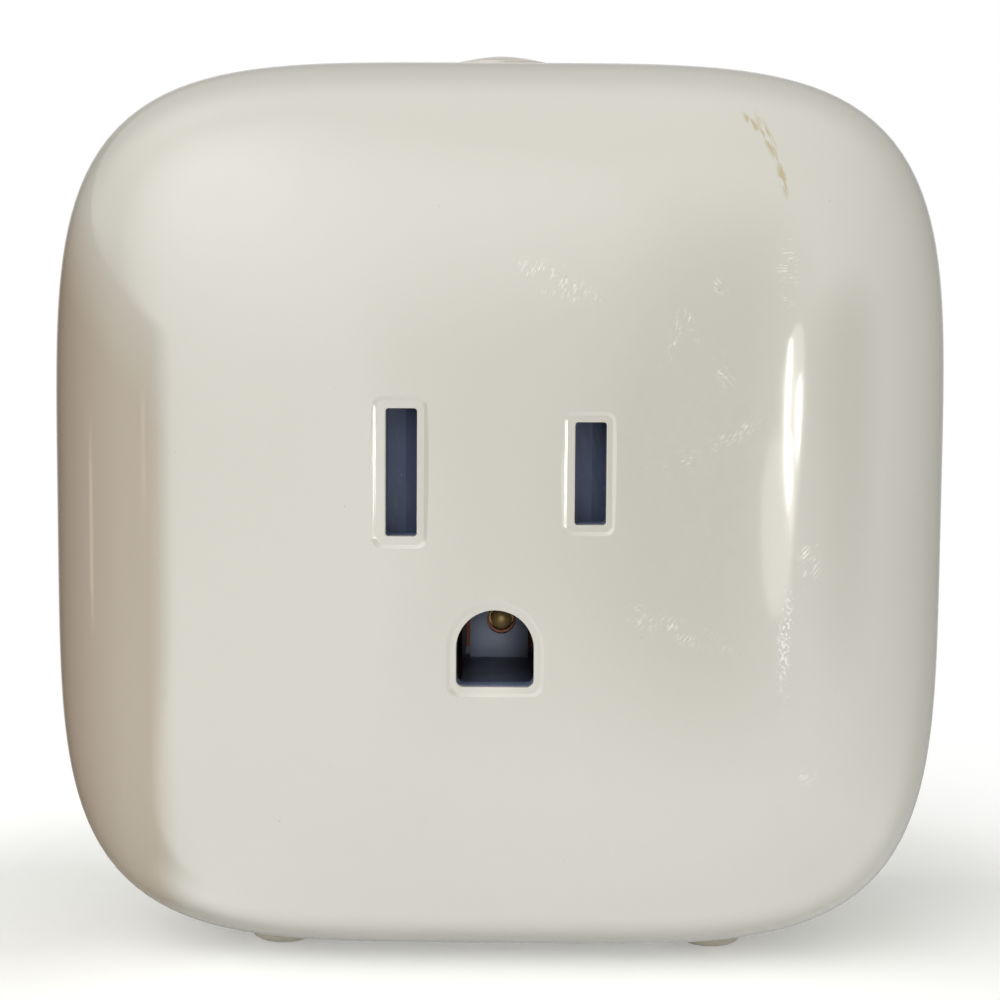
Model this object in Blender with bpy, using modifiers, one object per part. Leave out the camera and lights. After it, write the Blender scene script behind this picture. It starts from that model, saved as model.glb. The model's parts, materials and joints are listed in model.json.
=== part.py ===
"""Smart plug: a pillow-shaped switched outlet that plugs into a wall receptacle.

Frame: the origin is the middle of the flat rear face that meets the wall. +Y runs into the wall,
so the socket faces -Y. +Z is up, and +X is to the right of someone facing the socket.
Lengths are metres, written as millimetres times MM.
"""

import math

import bmesh
import bpy
from mathutils import Matrix, Vector

MM = 0.001
GAP = 0.3 * MM            # clearance between neighbouring pieces
OVERSHOOT = 1.0 * MM      # how far a cutter runs past the face that it opens

# Body: a squircle outline with a domed front, straight sides and a flat rear face
BODY_HALF = 32.0 * MM
BODY_FRONT = -38.0 * MM
DOME_DEPTH = 15.0 * MM
OUTLINE_POWER = 4.4
DOME_POWER = 2.6
WALL = 2.2 * MM
SEAM = -6.0 * MM
COVER_FLOOR = 2.5 * MM
COVER_EDGE_RADIUS = 3.0 * MM
WIDEST = BODY_FRONT + DOME_DEPTH
INNER_HALF = BODY_HALF - WALL
INNER_FRONT = BODY_FRONT + WALL

# Socket and prongs: the common 15 A grounded pattern
BLADE_X = 12.7 / 2 * MM
BLADE_Z = 3.8 * MM
GROUND_Z = BLADE_Z - 11.9 * MM
SLOT_WIDTH = 2.1 * MM
NEUTRAL_SLOT = 8.6 * MM
HOT_SLOT = 6.9 * MM
GROUND_RADIUS = 2.62 * MM
GROUND_DROP = 2.66 * MM
BLADE_THICKNESS = 1.5 * MM
BLADE_WIDTH = 6.35 * MM
BLADE_LENGTH = 17.0 * MM
PIN_RADIUS = 4.75 / 2 * MM
PIN_LENGTH = 20.5 * MM

# Middle of the face, a thin piece of its own around the openings, and the dark plate behind it
FACE_WIDTH = 20.0 * MM
FACE_HEIGHT = 25.0 * MM
FACE_Z = -1.2 * MM
FACE_GAP = 0.2 * MM
FACE_REAR = -36.8 * MM
BACKING_FRONT = FACE_REAR + GAP
BACKING_REAR = -35.2 * MM

# Fixings, board and moving pieces
SCREW_X = 20.5 * MM
SCREW_RADIUS = 1.4 * MM
BOARD_HALF = 25.0 * MM
BOARD_FRONT = -12.5 * MM
BOARD_REAR = BOARD_FRONT + 1.6 * MM
SEAT = BOARD_FRONT - GAP  # where parts on the board begin
BUTTON_Y = -16.0 * MM
BUTTON_RADIUS = 3.6 * MM
BUTTON_TOP = BODY_HALF + 1.05 * MM
FOOT_X = 15.9 * MM
FOOT_FRONT_Y = -22.0 * MM
FOOT_REAR_Y = -9.6 * MM
FOOT_RADIUS = 2.4 * MM
FOOT_BOTTOM = -BODY_HALF - 0.6 * MM
SOCKET_HALF = 14.6 * MM
SOCKET_TOP = 11.6 * MM
SOCKET_BOTTOM = -13.3 * MM
CAP_FRONT = -32.7 * MM
CAP_REAR = -30.9 * MM
BLOCK_FRONT = CAP_REAR + GAP
BLOCK_REAR = -14.2 * MM
RELAY_X = -19.1 * MM
ARMATURE_Y = -19.6 * MM
ARMATURE_Z = 4.3 * MM
RETAINER_FRONT = -6.8 * MM
RETAINER_REAR = -4.9 * MM
RETAINER_SCREW_X = 10.5 * MM
RETAINER_SCREW_Z = -7.0 * MM
RETAINER_SCREW_RADIUS = 0.9 * MM
STEM_X = 0.15 * MM
STEM_Z = GROUND_Z - 1.2 * MM
RIVET_RADIUS = 0.6 * MM
RIVET_HEAD = 0.8 * MM

# Finish: colour, roughness, metallic
FINISHES = {
    "white_gloss": ((0.70, 0.67, 0.60), 0.18, 0.0),
    "button_white": ((0.62, 0.59, 0.53), 0.25, 0.0),
    "silicone": ((0.36, 0.34, 0.29), 0.55, 0.0),
    "black_plastic": ((0.030, 0.034, 0.045), 0.45, 0.0),
    "socket_grey": ((0.16, 0.17, 0.20), 0.50, 0.0),
    "brass": ((0.60, 0.44, 0.20), 0.30, 1.0),
    "steel": ((0.55, 0.55, 0.56), 0.35, 1.0),
    "fuse_glass": ((0.60, 0.63, 0.60), 0.10, 0.0),
    "board_green": ((0.02, 0.16, 0.07), 0.45, 0.0),
    "relay_blue": ((0.05, 0.10, 0.30), 0.35, 0.0),
    "copper": ((0.55, 0.22, 0.09), 0.35, 1.0),
    "ferrite": ((0.06, 0.06, 0.065), 0.60, 0.0),
    "tape_yellow": ((0.65, 0.45, 0.05), 0.50, 0.0),
    "can_sleeve": ((0.03, 0.05, 0.12), 0.30, 0.0),
    "chip_black": ((0.02, 0.02, 0.02), 0.50, 0.0),
    "disc_blue": ((0.02, 0.08, 0.35), 0.40, 0.0),
    "lens_white": ((0.80, 0.80, 0.75), 0.20, 0.0),
}

AXIS_TURN = {
    "X": Matrix(((0, 0, 1), (1, 0, 0), (0, 1, 0))).to_4x4(),
    "Y": Matrix(((1, 0, 0), (0, 0, -1), (0, 1, 0))).to_4x4(),
    "Z": Matrix.Identity(4),
}
AXIS_STEP = {"X": Vector((1, 0, 0)), "Y": Vector((0, 1, 0)), "Z": Vector((0, 0, 1))}

for old in list(bpy.data.objects):
    bpy.data.objects.remove(old, do_unlink=True)

PARTS = bpy.data.collections.new("smart_plug")
CUTTERS = bpy.data.collections.new("smart_plug_cutters")
bpy.context.scene.collection.children.link(PARTS)
bpy.context.scene.collection.children.link(CUTTERS)
ROOT = bpy.data.objects.new("smart_plug_root", None)
PARTS.objects.link(ROOT)


def finish_material(finish):
    """Return the named finish as a Principled material, made once."""
    found = bpy.data.materials.get(finish)
    if found:
        return found
    colour, roughness, metallic = FINISHES[finish]
    made = bpy.data.materials.new(finish)
    made.use_nodes = True
    shader = made.node_tree.nodes["Principled BSDF"]
    shader.inputs["Base Color"].default_value = (*colour, 1.0)
    shader.inputs["Roughness"].default_value = roughness
    shader.inputs["Metallic"].default_value = metallic
    made.diffuse_color = (*colour, 1.0)
    return made


def mesh_object(name, bm):
    """Turn a bmesh into an object in no collection yet, with its faces pointing out."""
    bmesh.ops.recalc_face_normals(bm, faces=bm.faces)
    mesh = bpy.data.meshes.new(name)
    bm.to_mesh(mesh)
    bm.free()
    return bpy.data.objects.new(name, mesh)


def part(obj, finish, smooth=True):
    """File an object as a piece of the plug, with its finish."""
    PARTS.objects.link(obj)
    obj.parent = ROOT
    obj.data.materials.append(finish_material(finish))
    if smooth:
        obj.data.shade_smooth()
        obj.data.set_sharp_from_angle(angle=math.radians(35))
    return obj


def cutter(obj):
    """File an object as a tool that only cuts or adds to pieces."""
    CUTTERS.objects.link(obj)
    obj.hide_render = True
    obj.display_type = "WIRE"
    return obj


def combine(target, tools, operation):
    """Apply each tool to the target with a Boolean modifier."""
    for tool in tools:
        modifier = target.modifiers.new(tool.name, "BOOLEAN")
        modifier.operation = operation
        modifier.object = tool
    return target


def cut(target, *shapes):
    """Cut shapes out of the target."""
    return combine(target, [cutter(shape) for shape in shapes], "DIFFERENCE")


def join(target, *shapes):
    """Add shapes to the target as one solid."""
    return combine(target, [cutter(shape) for shape in shapes], "UNION")


def origin_to(obj, point):
    """Move an object's origin, and not its shape, to a point on its joint's axis."""
    obj.data.transform(Matrix.Translation(-Vector(point)))
    obj.location = point
    return obj


def block(name, low, high):
    """Make a box between two corners from the cube primitive."""
    low, high = Vector(low), Vector(high)
    bm = bmesh.new()
    bmesh.ops.create_cube(bm, size=1.0)
    bmesh.ops.scale(bm, vec=high - low, verts=bm.verts)
    bmesh.ops.translate(bm, vec=(low + high) / 2, verts=bm.verts)
    return mesh_object(name, bm)


def rounded_block(name, low, high, radius):
    """Make a box with every edge bevelled."""
    obj = block(name, low, high)
    bevel = obj.modifiers.new("edges", "BEVEL")
    bevel.width = radius
    bevel.segments = 2
    return obj


def rod(name, start, end, radius, segments=20):
    """Make a round bar between two points from the cylinder primitive."""
    start, end = Vector(start), Vector(end)
    bm = bmesh.new()
    bmesh.ops.create_cone(bm, cap_ends=True, segments=segments, radius1=radius, radius2=radius,
                          depth=(end - start).length)
    turn = Vector((0, 0, 1)).rotation_difference(end - start).to_matrix().to_4x4()
    bm.transform(Matrix.Translation((start + end) / 2) @ turn)
    return mesh_object(name, bm)


def turned(name, profile, base, axis, steps=24, closed=False):
    """Turn a profile of (radius, height), listed top to bottom, about a world axis through base."""
    mesh = bpy.data.meshes.new(name)
    count = len(profile)
    edges = [(index, index + 1) for index in range(count - 1)]
    if closed:
        edges.append((count - 1, 0))
    mesh.from_pydata([(radius, 0, height) for radius, height in profile], edges, [])
    obj = bpy.data.objects.new(name, mesh)
    screw = obj.modifiers.new("turn", "SCREW")
    screw.axis = "Z"
    screw.steps = steps
    screw.render_steps = steps
    screw.use_merge_vertices = True
    screw.merge_threshold = 0.00001
    screw.use_smooth_shade = True
    obj.location = base
    obj.rotation_euler = Vector((0, 0, 1)).rotation_difference(AXIS_STEP[axis]).to_euler()
    return obj


def outline_solid(name, points, axis, low, high):
    """Extrude a flat outline along a world axis. Points are (X, Z) for Y, (Y, Z) for X, (X, Y) for Z."""
    curve = bpy.data.curves.new(name, "CURVE")
    curve.dimensions = "2D"
    curve.fill_mode = "BOTH"
    curve.extrude = (high - low) / 2
    spline = curve.splines.new("POLY")
    spline.points.add(len(points) - 1)
    for point, (across, up) in zip(spline.points, points):
        point.co = (across, up, 0, 1)
    spline.use_cyclic_u = True
    holder = bpy.data.objects.new(name + "_outline", curve)
    CUTTERS.objects.link(holder)
    flat = holder.evaluated_get(bpy.context.evaluated_depsgraph_get())
    mesh = bpy.data.meshes.new_from_object(flat)
    bpy.data.objects.remove(holder, do_unlink=True)
    mesh.transform(Matrix.Translation(AXIS_STEP[axis] * (low + high) / 2) @ AXIS_TURN[axis])
    bm = bmesh.new()
    bm.from_mesh(mesh)
    bpy.data.meshes.remove(mesh)
    bmesh.ops.remove_doubles(bm, verts=bm.verts, dist=0.000001)
    return mesh_object(name, bm)


def strip(name, path, low_z, high_z, thickness):
    """Fold a flat strip along a path of (X, Y) points and give it a thickness."""
    bm = bmesh.new()
    lower = [bm.verts.new((x, y, low_z)) for x, y in path]
    edges = [bm.edges.new(pair) for pair in zip(lower, lower[1:])]
    raised = bmesh.ops.extrude_edge_only(bm, edges=edges)["geom"]
    upper = [item for item in raised if isinstance(item, bmesh.types.BMVert)]
    bmesh.ops.translate(bm, vec=(0, 0, high_z - low_z), verts=upper)
    obj = mesh_object(name, bm)
    solidify = obj.modifiers.new("sheet", "SOLIDIFY")
    solidify.thickness = thickness
    solidify.offset = 0.0
    solidify.use_even_offset = True
    return obj


def arc(centre, radius, first, last, steps):
    """Return points on an arc, in degrees from the first axis."""
    angles = [math.radians(first + (last - first) * step / steps) for step in range(steps + 1)]
    return [(centre[0] + radius * math.cos(a), centre[1] + radius * math.sin(a)) for a in angles]


def rounded_rectangle(centre, width, height, radius, steps=4):
    """Return the outline of a rectangle with round corners."""
    across, up = width / 2 - radius, height / 2 - radius
    corners = [(across, up, 0), (-across, up, 90), (-across, -up, 180), (across, -up, 270)]
    points = []
    for x, z, first in corners:
        points += arc((centre[0] + x, centre[1] + z), radius, first, first + 90, steps)
    return points


def ground_outline(margin, corner=0.5 * MM):
    """Return the ground hole's outline, round above and flat below, grown by a margin."""
    radius, drop = GROUND_RADIUS + margin, GROUND_DROP + margin
    side, floor = radius - corner, GROUND_Z - drop + corner
    points = arc((0, GROUND_Z), radius, 0, 180, 16)
    points += arc((-side, floor), corner, 180, 270, 3)
    points += arc((side, floor), corner, 270, 360, 3)
    return points


def socket_openings(margin):
    """List each socket opening's name and outline, grown by a margin."""
    corner = 0.2 * MM + margin / 2
    openings = []
    for name, x, height in (("neutral", -BLADE_X, NEUTRAL_SLOT), ("hot", BLADE_X, HOT_SLOT)):
        outline = rounded_rectangle((x, BLADE_Z), SLOT_WIDTH + 2 * margin, height + 2 * margin, corner, 3)
        openings.append((name, outline))
    return openings + [("ground", ground_outline(margin))]


def face_outline(margin):
    """Return the outline of the face's middle piece, grown by a margin."""
    corner = 8.0 * MM + margin
    return rounded_rectangle((0, FACE_Z), FACE_WIDTH + 2 * margin, FACE_HEIGHT + 2 * margin, corner, 6)


def squircle_point(angle, half):
    """Return the point of the body's outline at one angle and size, as (X, Z)."""
    across, up = math.cos(angle), math.sin(angle)
    reach = half / (abs(across) ** OUTLINE_POWER + abs(up) ** OUTLINE_POWER) ** (1 / OUTLINE_POWER)
    return across * reach, up * reach


def loft(name, sections, count=80):
    """Extrude the body's outline through sections of (Y, half size), as a closed solid."""
    bm = bmesh.new()
    ring = bmesh.ops.create_circle(bm, cap_ends=False, segments=count, radius=1.0)["verts"]
    edges = bm.edges[:]
    for number, (y, half) in enumerate(sections):
        if number:
            grown = bmesh.ops.extrude_edge_only(bm, edges=edges)["geom"]
            edges = [item for item in grown if isinstance(item, bmesh.types.BMEdge)]
            ring = [item for item in grown if isinstance(item, bmesh.types.BMVert)]
        for vert in ring:
            angle = math.atan2(vert.co.z if number else vert.co.y, vert.co.x)
            x, z = squircle_point(angle, half)
            vert.co = (x, y, z)
    bmesh.ops.holes_fill(bm, edges=bm.edges, sides=count)
    return mesh_object(name, bm)


def dome_sections(half, front, rear, rings, smallest):
    """List the body's sections from its rear edge forward to a small flat front."""
    depth = WIDEST - front
    sections = [(rear, half), (WIDEST, half)]
    for ring in range(1, rings + 1):
        share = 1 - (1 - smallest) * ring / rings
        angle = math.pi / 2 * share
        size = math.sin(angle) if ring < rings else smallest
        forward = (1 - size ** DOME_POWER) ** (1 / DOME_POWER)
        sections.append((WIDEST - depth * forward, half * size))
    sections[-1] = (front, half * smallest)
    return sections


def corner_points():
    """Return the four screw positions as (X, Z)."""
    return [(x, z) for z in (SCREW_X, -SCREW_X) for x in (-SCREW_X, SCREW_X)]


def along_y(x, z, first_y, last_y):
    """Return the two ends of a line along Y."""
    return (x, first_y, z), (x, last_y, z)


def foot_points():
    """Return each foot's name and (X, Y) place."""
    rows = (("front", FOOT_FRONT_Y), ("rear", FOOT_REAR_Y))
    sides = (("left", -FOOT_X), ("right", FOOT_X))
    return [(f"foot_{row}_{side}", x, y) for row, y in rows for side, x in sides]


def make_front_shell():
    """Mould the white shell: domed outside, hollow inside, with posts for the case screws."""
    post_radius = 3.2 * MM
    post_end = SEAT
    shell = part(loft("front_shell", dome_sections(BODY_HALF, BODY_FRONT, SEAM, 9, 0.1)), "white_gloss")

    hollow = loft("shell_hollow", dome_sections(INNER_HALF, INNER_FRONT, SEAM + OVERSHOOT, 6, 0.1), 48)
    for number, (x, z) in enumerate(corner_points(), 1):
        start, end = along_y(x, z, post_end, BODY_FRONT)
        cut(hollow, rod(f"post_{number}", start, end, post_radius, 16))
    cut(shell, hollow)
    for number, (x, z) in enumerate(corner_points(), 1):
        start, end = along_y(x, z, post_end + OVERSHOOT, -22.0 * MM)
        cut(shell, rod(f"pilot_{number}", start, end, SCREW_RADIUS + GAP, 12))

    cut(shell, outline_solid("face_window", face_outline(FACE_GAP), "Y",
                             BODY_FRONT - OVERSHOOT, INNER_FRONT + OVERSHOOT))
    button_top = (0, BUTTON_Y, BODY_HALF + OVERSHOOT)
    button_bottom = (0, BUTTON_Y, INNER_HALF - OVERSHOOT)
    cut(shell, rod("button_hole", button_bottom, button_top, BUTTON_RADIUS + GAP, 24))
    for name, x, y in foot_points():
        pocket = rod(f"{name}_pocket", (x, y, FOOT_BOTTOM), (x, y, -31.0 * MM), FOOT_RADIUS + GAP)
        cut(shell, pocket)


def make_face_insert():
    """Mould the thin middle of the face, flush with the shell, with the socket's recessed openings."""
    recess_depth, recess_margin = 0.45 * MM, 0.7 * MM
    outside, floor = BODY_FRONT - OVERSHOOT, BODY_FRONT + recess_depth
    insert = part(outline_solid("face_insert", face_outline(0.0), "Y", outside, FACE_REAR), "white_gloss")
    dome = loft("face_dome", dome_sections(BODY_HALF, BODY_FRONT, SEAM, 9, 0.1))
    combine(insert, [cutter(dome)], "INTERSECT")
    for name, outline in socket_openings(recess_margin):
        cut(insert, outline_solid(f"{name}_recess", outline, "Y", outside, floor))
    for name, outline in socket_openings(0.0):
        cut(insert, outline_solid(f"{name}_opening", outline, "Y", outside, FACE_REAR + OVERSHOOT))


def make_face_backing():
    """Make the dark plate behind the face, which lines the openings and catches behind the shell."""
    root, edge, reach = 7.2 * MM, 9.0 * MM, 11.5 * MM
    hook_root = BACKING_REAR - 0.5 * MM
    catch_front, catch_rear, low_z, high_z = -34.8 * MM, -34.2 * MM, -8.0 * MM, -4.5 * MM
    plate = outline_solid("face_backing", face_outline(0.0), "Y", BACKING_FRONT, BACKING_REAR)
    backing = part(plate, "black_plastic", False)
    hook = [(root, hook_root), (edge, hook_root), (edge, catch_front), (reach, catch_front),
            (reach, catch_rear), (root, catch_rear)]
    for name, side in (("left", -1), ("right", 1)):
        points = [(side * x, y) for x, y in hook]
        join(backing, outline_solid(f"{name}_catch", points, "Z", low_z, high_z))
    ends = (BACKING_FRONT - OVERSHOOT, BACKING_REAR + OVERSHOOT)
    for name, outline in socket_openings(0.0):
        cut(backing, outline_solid(f"{name}_lining", outline, "Y", *ends))


def make_rear_cover():
    """Mould the closing cover: rounded edge, locating lip, screw tubes and prong openings."""
    lip_half = INNER_HALF - GAP
    lip_wall = 1.4 * MM
    lip_front = -8.2 * MM
    rim_front = SEAM + GAP
    inner_floor = -COVER_FLOOR
    tube_radius = 3.8 * MM
    tube_front = BOARD_REAR + GAP
    head_seat = -2.8 * MM

    sections = [(rim_front, BODY_HALF), (-COVER_EDGE_RADIUS, BODY_HALF)]
    for step in range(1, 5):
        angle = math.pi / 2 * step / 4
        drop = COVER_EDGE_RADIUS * (1 - math.cos(angle))
        sections.append((-COVER_EDGE_RADIUS * (1 - math.sin(angle)), BODY_HALF - drop))
    cover = part(loft("rear_cover", sections), "white_gloss")
    join(cover, loft("cover_lip", [(lip_front, lip_half), (rim_front + OVERSHOOT, lip_half)]))
    cut(cover, loft("cover_hollow", [(lip_front - OVERSHOOT, lip_half - lip_wall),
                                     (inner_floor, lip_half - lip_wall)], 48))
    for number, (x, z) in enumerate(corner_points(), 1):
        start, end = along_y(x, z, tube_front, inner_floor + OVERSHOOT)
        join(cover, rod(f"tube_{number}", start, end, tube_radius))
        start, end = along_y(x, z, tube_front - OVERSHOOT, OVERSHOOT)
        cut(cover, rod(f"tube_bore_{number}", start, end, SCREW_RADIUS + GAP, 12))
        start, end = along_y(x, z, head_seat, OVERSHOOT)
        cut(cover, rod(f"head_well_{number}", start, end, 2.8 * MM))

    for name, x in (("left", -RETAINER_SCREW_X), ("right", RETAINER_SCREW_X)):
        start, end = along_y(x, RETAINER_SCREW_Z, RETAINER_REAR + GAP, inner_floor + OVERSHOOT)
        join(cover, rod(f"retainer_boss_{name}", start, end, 2.3 * MM))
        start, end = along_y(x, RETAINER_SCREW_Z, RETAINER_REAR - OVERSHOOT, -1.5 * MM)
        cut(cover, rod(f"retainer_pilot_{name}", start, end, RETAINER_SCREW_RADIUS + GAP, 12))

    through = (inner_floor - OVERSHOOT, OVERSHOOT)
    for name, x in (("neutral", -BLADE_X), ("hot", BLADE_X)):
        gate = rounded_rectangle((x, BLADE_Z), BLADE_THICKNESS + 2 * GAP, BLADE_WIDTH + 2 * GAP, 0.2 * MM, 2)
        cut(cover, outline_solid(f"{name}_gate", gate, "Y", *through))
    start, end = along_y(0, GROUND_Z, *through)
    cut(cover, rod("ground_gate", start, end, PIN_RADIUS + GAP))


def screw(name, x, z, head, head_height, seat, tip, shank, point_out):
    """Turn a cross-head screw along Y, with its head towards the wall or towards the front."""
    sign = 1 if point_out else -1
    top = seat + sign * head_height
    profile = [(0, top), (head * 0.7, top), (head, seat + sign * head_height * 0.45), (head, seat),
               (shank, seat), (shank, tip + sign * shank * 1.5), (0, tip)]
    if not point_out:
        profile.reverse()
    obj = part(turned(name, profile, (x, 0, z), "Y", 16), "steel")
    length, width, depth = head * 0.5, 0.45 * MM, head_height * 0.55
    near, far = sorted((top - sign * depth, top + sign * OVERSHOOT))
    cut(obj, block(f"{name}_cross_a", (x - length, near, z - width / 2), (x + length, far, z + width / 2)),
        block(f"{name}_cross_b", (x - width / 2, near, z - length), (x + width / 2, far, z + length)))


def make_case_screws():
    """Make the four long screws that pull the cover and board onto the shell's posts."""
    for number, (x, z) in enumerate(corner_points(), 1):
        screw(f"case_screw_{number}", x, z, 2.5 * MM, 1.6 * MM, -2.5 * MM, -21.0 * MM, SCREW_RADIUS, True)


def make_button():
    """Turn the push button: a pointed dome, a flange that holds it in, and a stem."""
    crown, crown_power, steps = 0.55 * MM, 1.5, 5
    flange_top, flange_bottom = INNER_HALF - 0.35 * MM, 28.0 * MM
    flange_radius, stem_radius, stem_end = 4.7 * MM, 1.5 * MM, 26.9 * MM
    rim = BUTTON_TOP - crown
    dome = []
    for step in range(steps + 1):
        share = step / steps
        dome.append((BUTTON_RADIUS * share, rim + crown * (1 - share ** crown_power)))
    profile = dome + [(BUTTON_RADIUS, flange_top), (flange_radius, flange_top),
                      (flange_radius, flange_bottom), (stem_radius, flange_bottom),
                      (stem_radius, stem_end), (0, stem_end)]
    part(turned("power_button", profile, (0, BUTTON_Y, 0), "Z"), "button_white")


def make_feet():
    """Turn the four small silicone feet."""
    top, shoulder, flat = -31.3 * MM, -31.9 * MM, 1.5 * MM
    edge = FOOT_RADIUS - flat
    for name, x, y in foot_points():
        side = []
        for step in range(5):
            angle = math.pi / 2 * step / 4
            height = shoulder + (FOOT_BOTTOM - shoulder) * math.sin(angle)
            side.append((flat + edge * math.cos(angle), height))
        profile = [(0, top), (FOOT_RADIUS, top)] + side + [(0, FOOT_BOTTOM)]
        part(turned(name, profile, (x, y, 0), "Z", 20), "silicone")


def socket_outline():
    """Return the outline shared by the socket's block and its front plate."""
    centre = (0, (SOCKET_TOP + SOCKET_BOTTOM) / 2)
    return rounded_rectangle(centre, 2 * SOCKET_HALF, SOCKET_TOP - SOCKET_BOTTOM, 2.0 * MM, 3)


def make_socket_cap():
    """Make the socket's front plate, with the rails and stops that guide the shutter."""
    rail_front, collar, collar_margin = -34.5 * MM, 5.0 * MM, 0.7 * MM
    root = CAP_FRONT + 0.5 * MM
    cap = part(outline_solid("socket_cap", socket_outline(), "Y", CAP_FRONT, CAP_REAR), "black_plastic")
    rails = (("upper", 9.8 * MM, 11.2 * MM), ("lower", -3.6 * MM, -2.2 * MM))
    for name, low, high in rails:
        join(cap, block(f"{name}_rail", (-12.6 * MM, rail_front, low), (11.0 * MM, root, high)))
    stops = (("rest", 8.3 * MM, 9.8 * MM), ("spring", -14.2 * MM, -13.0 * MM))
    for name, low, high in stops:
        join(cap, block(f"{name}_stop", (low, rail_front, 2.0 * MM), (high, root, 5.6 * MM)))
    start, end = along_y(0, GROUND_Z, rail_front, root)
    join(cap, rod("ground_collar", start, end, collar, 24))
    for name, x in (("neutral", -BLADE_X), ("hot", BLADE_X)):
        window = rounded_rectangle((x, BLADE_Z), 2.6 * MM, 9.0 * MM, 0.3 * MM, 2)
        cut(cap, outline_solid(f"{name}_window", window, "Y", CAP_FRONT - OVERSHOOT, CAP_REAR + OVERSHOOT))
    cut(cap, outline_solid("ground_window", ground_outline(collar_margin), "Y",
                           rail_front - OVERSHOOT, CAP_REAR + OVERSHOOT))


def make_socket_body():
    """Make the insulating block: a chamber for each contact, a wall behind the ground hole, and legs."""
    chamber_half, chamber_rear = 3.0 * MM, -17.0 * MM
    tail_low, tail_high = 4.3 * MM, 7.3 * MM
    ground_half, ground_high, ground_rear = 4.2 * MM, 4.1 * MM, -15.0 * MM
    wall_half, wall_front, wall_rear, wall_root = 2.2 * MM, -16.6 * MM, -16.15 * MM, 0.2 * MM
    mouth = BLOCK_FRONT - OVERSHOOT
    body = part(outline_solid("socket_body", socket_outline(), "Y", BLOCK_FRONT, BLOCK_REAR), "socket_grey")
    leg = 1.2 * MM
    for number, (x, z) in enumerate(((-12, 9), (12, 9), (-12, -11), (12, -11)), 1):
        low = (x * MM - leg, BLOCK_REAR - OVERSHOOT, z * MM - leg)
        join(body, block(f"socket_leg_{number}", low, (x * MM + leg, SEAT, z * MM + leg)))
    for name, x in (("neutral", -BLADE_X), ("hot", BLADE_X)):
        low, high = (x - chamber_half, mouth, -1.6 * MM), (x + chamber_half, chamber_rear, 9.2 * MM)
        cut(body, block(f"{name}_chamber", low, high))
        low = (x - 0.7 * MM, chamber_rear - OVERSHOOT, tail_low)
        cut(body, block(f"{name}_tail_way", low, (x + 0.7 * MM, BLOCK_REAR + OVERSHOOT, tail_high)))
    floor, roof = GROUND_Z - ground_high, GROUND_Z + ground_high
    cut(body, block("ground_chamber", (-ground_half, mouth, floor), (ground_half, ground_rear, roof)))
    low, high = (-wall_half, wall_front, floor - wall_root), (wall_half, wall_rear, roof + wall_root)
    join(body, block("ground_wall", low, high))
    start, end = along_y(STEM_X, STEM_Z, wall_front - OVERSHOOT, wall_rear + GAP)
    cut(body, rod("rivet_way", start, end, RIVET_HEAD + GAP))
    start, end = along_y(STEM_X, STEM_Z, ground_rear - GAP, BLOCK_REAR + OVERSHOOT)
    cut(body, rod("ground_stem_way", start, end, 1.7 * MM))


def make_shutter():
    """Make the sliding safety shutter: a two-slope ramp under each slot, and a window for one blade."""
    front, middle, low_ramp, rear = -34.9 * MM, -34.45 * MM, -33.6 * MM, -33.1 * MM
    left, right, step, ramp_end = -8.5 * MM, 7.95 * MM, -2.5 * MM, -4.9 * MM
    first, turn, inset = 0.5 * MM, 1.2 * MM, 0.1 * MM
    neutral_edge, hot_edge = -BLADE_X - SLOT_WIDTH / 2, BLADE_X - SLOT_WIDTH / 2
    profile = [(left, rear), (right, rear), (right, low_ramp + inset), (hot_edge + turn, middle),
               (hot_edge - first, front), (step, front), (step, low_ramp), (ramp_end, low_ramp),
               (neutral_edge + turn, middle), (neutral_edge - first, front), (left, front)]
    shutter = part(outline_solid("shutter", profile, "Z", -1.8 * MM, 9.4 * MM), "black_plastic", False)
    origin_to(shutter, (0, (front + rear) / 2, BLADE_Z))
    low, high = (ramp_end + inset, front - OVERSHOOT, -0.8 * MM), (step - inset, rear + OVERSHOOT, 8.4 * MM)
    cut(shutter, block("shutter_window", low, high))


def least_self_gap(points, radius, skip):
    """Measure the least clear distance between turns of a tube, on its points."""
    least = math.inf
    for index, point in enumerate(points):
        for other in points[index + skip:]:
            least = min(least, (point - other).length - 2 * radius)
    return least


def make_shutter_spring():
    """Wind the small coil spring that pushes the shutter back over the slots."""
    start, end, axis_y = -12.7 * MM, -8.8 * MM, -33.95 * MM
    coil_radius, wire_radius, turns, turn_points = 0.85 * MM, 0.13 * MM, 4, 10
    count = turns * turn_points
    points = []
    for index in range(count + 1):
        angle = 2 * math.pi * index / turn_points
        x = start + wire_radius + (end - start - 2 * wire_radius) * index / count
        y, z = coil_radius * math.cos(angle), coil_radius * math.sin(angle)
        points.append(Vector((x, axis_y + y, BLADE_Z + z)))
    curve = bpy.data.curves.new("shutter_spring", "CURVE")
    curve.dimensions = "3D"
    curve.bevel_depth = wire_radius
    curve.bevel_resolution = 1
    curve.use_fill_caps = True
    spline = curve.splines.new("POLY")
    spline.points.add(count)
    for spot, point in zip(spline.points, points):
        spot.co = (*point, 1)
    part(bpy.data.objects.new("shutter_spring", curve), "steel", False)
    gap = least_self_gap(points, wire_radius, turn_points - 2)
    print(f"shutter_spring least gap to itself {gap / MM:.2f} mm")


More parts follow.
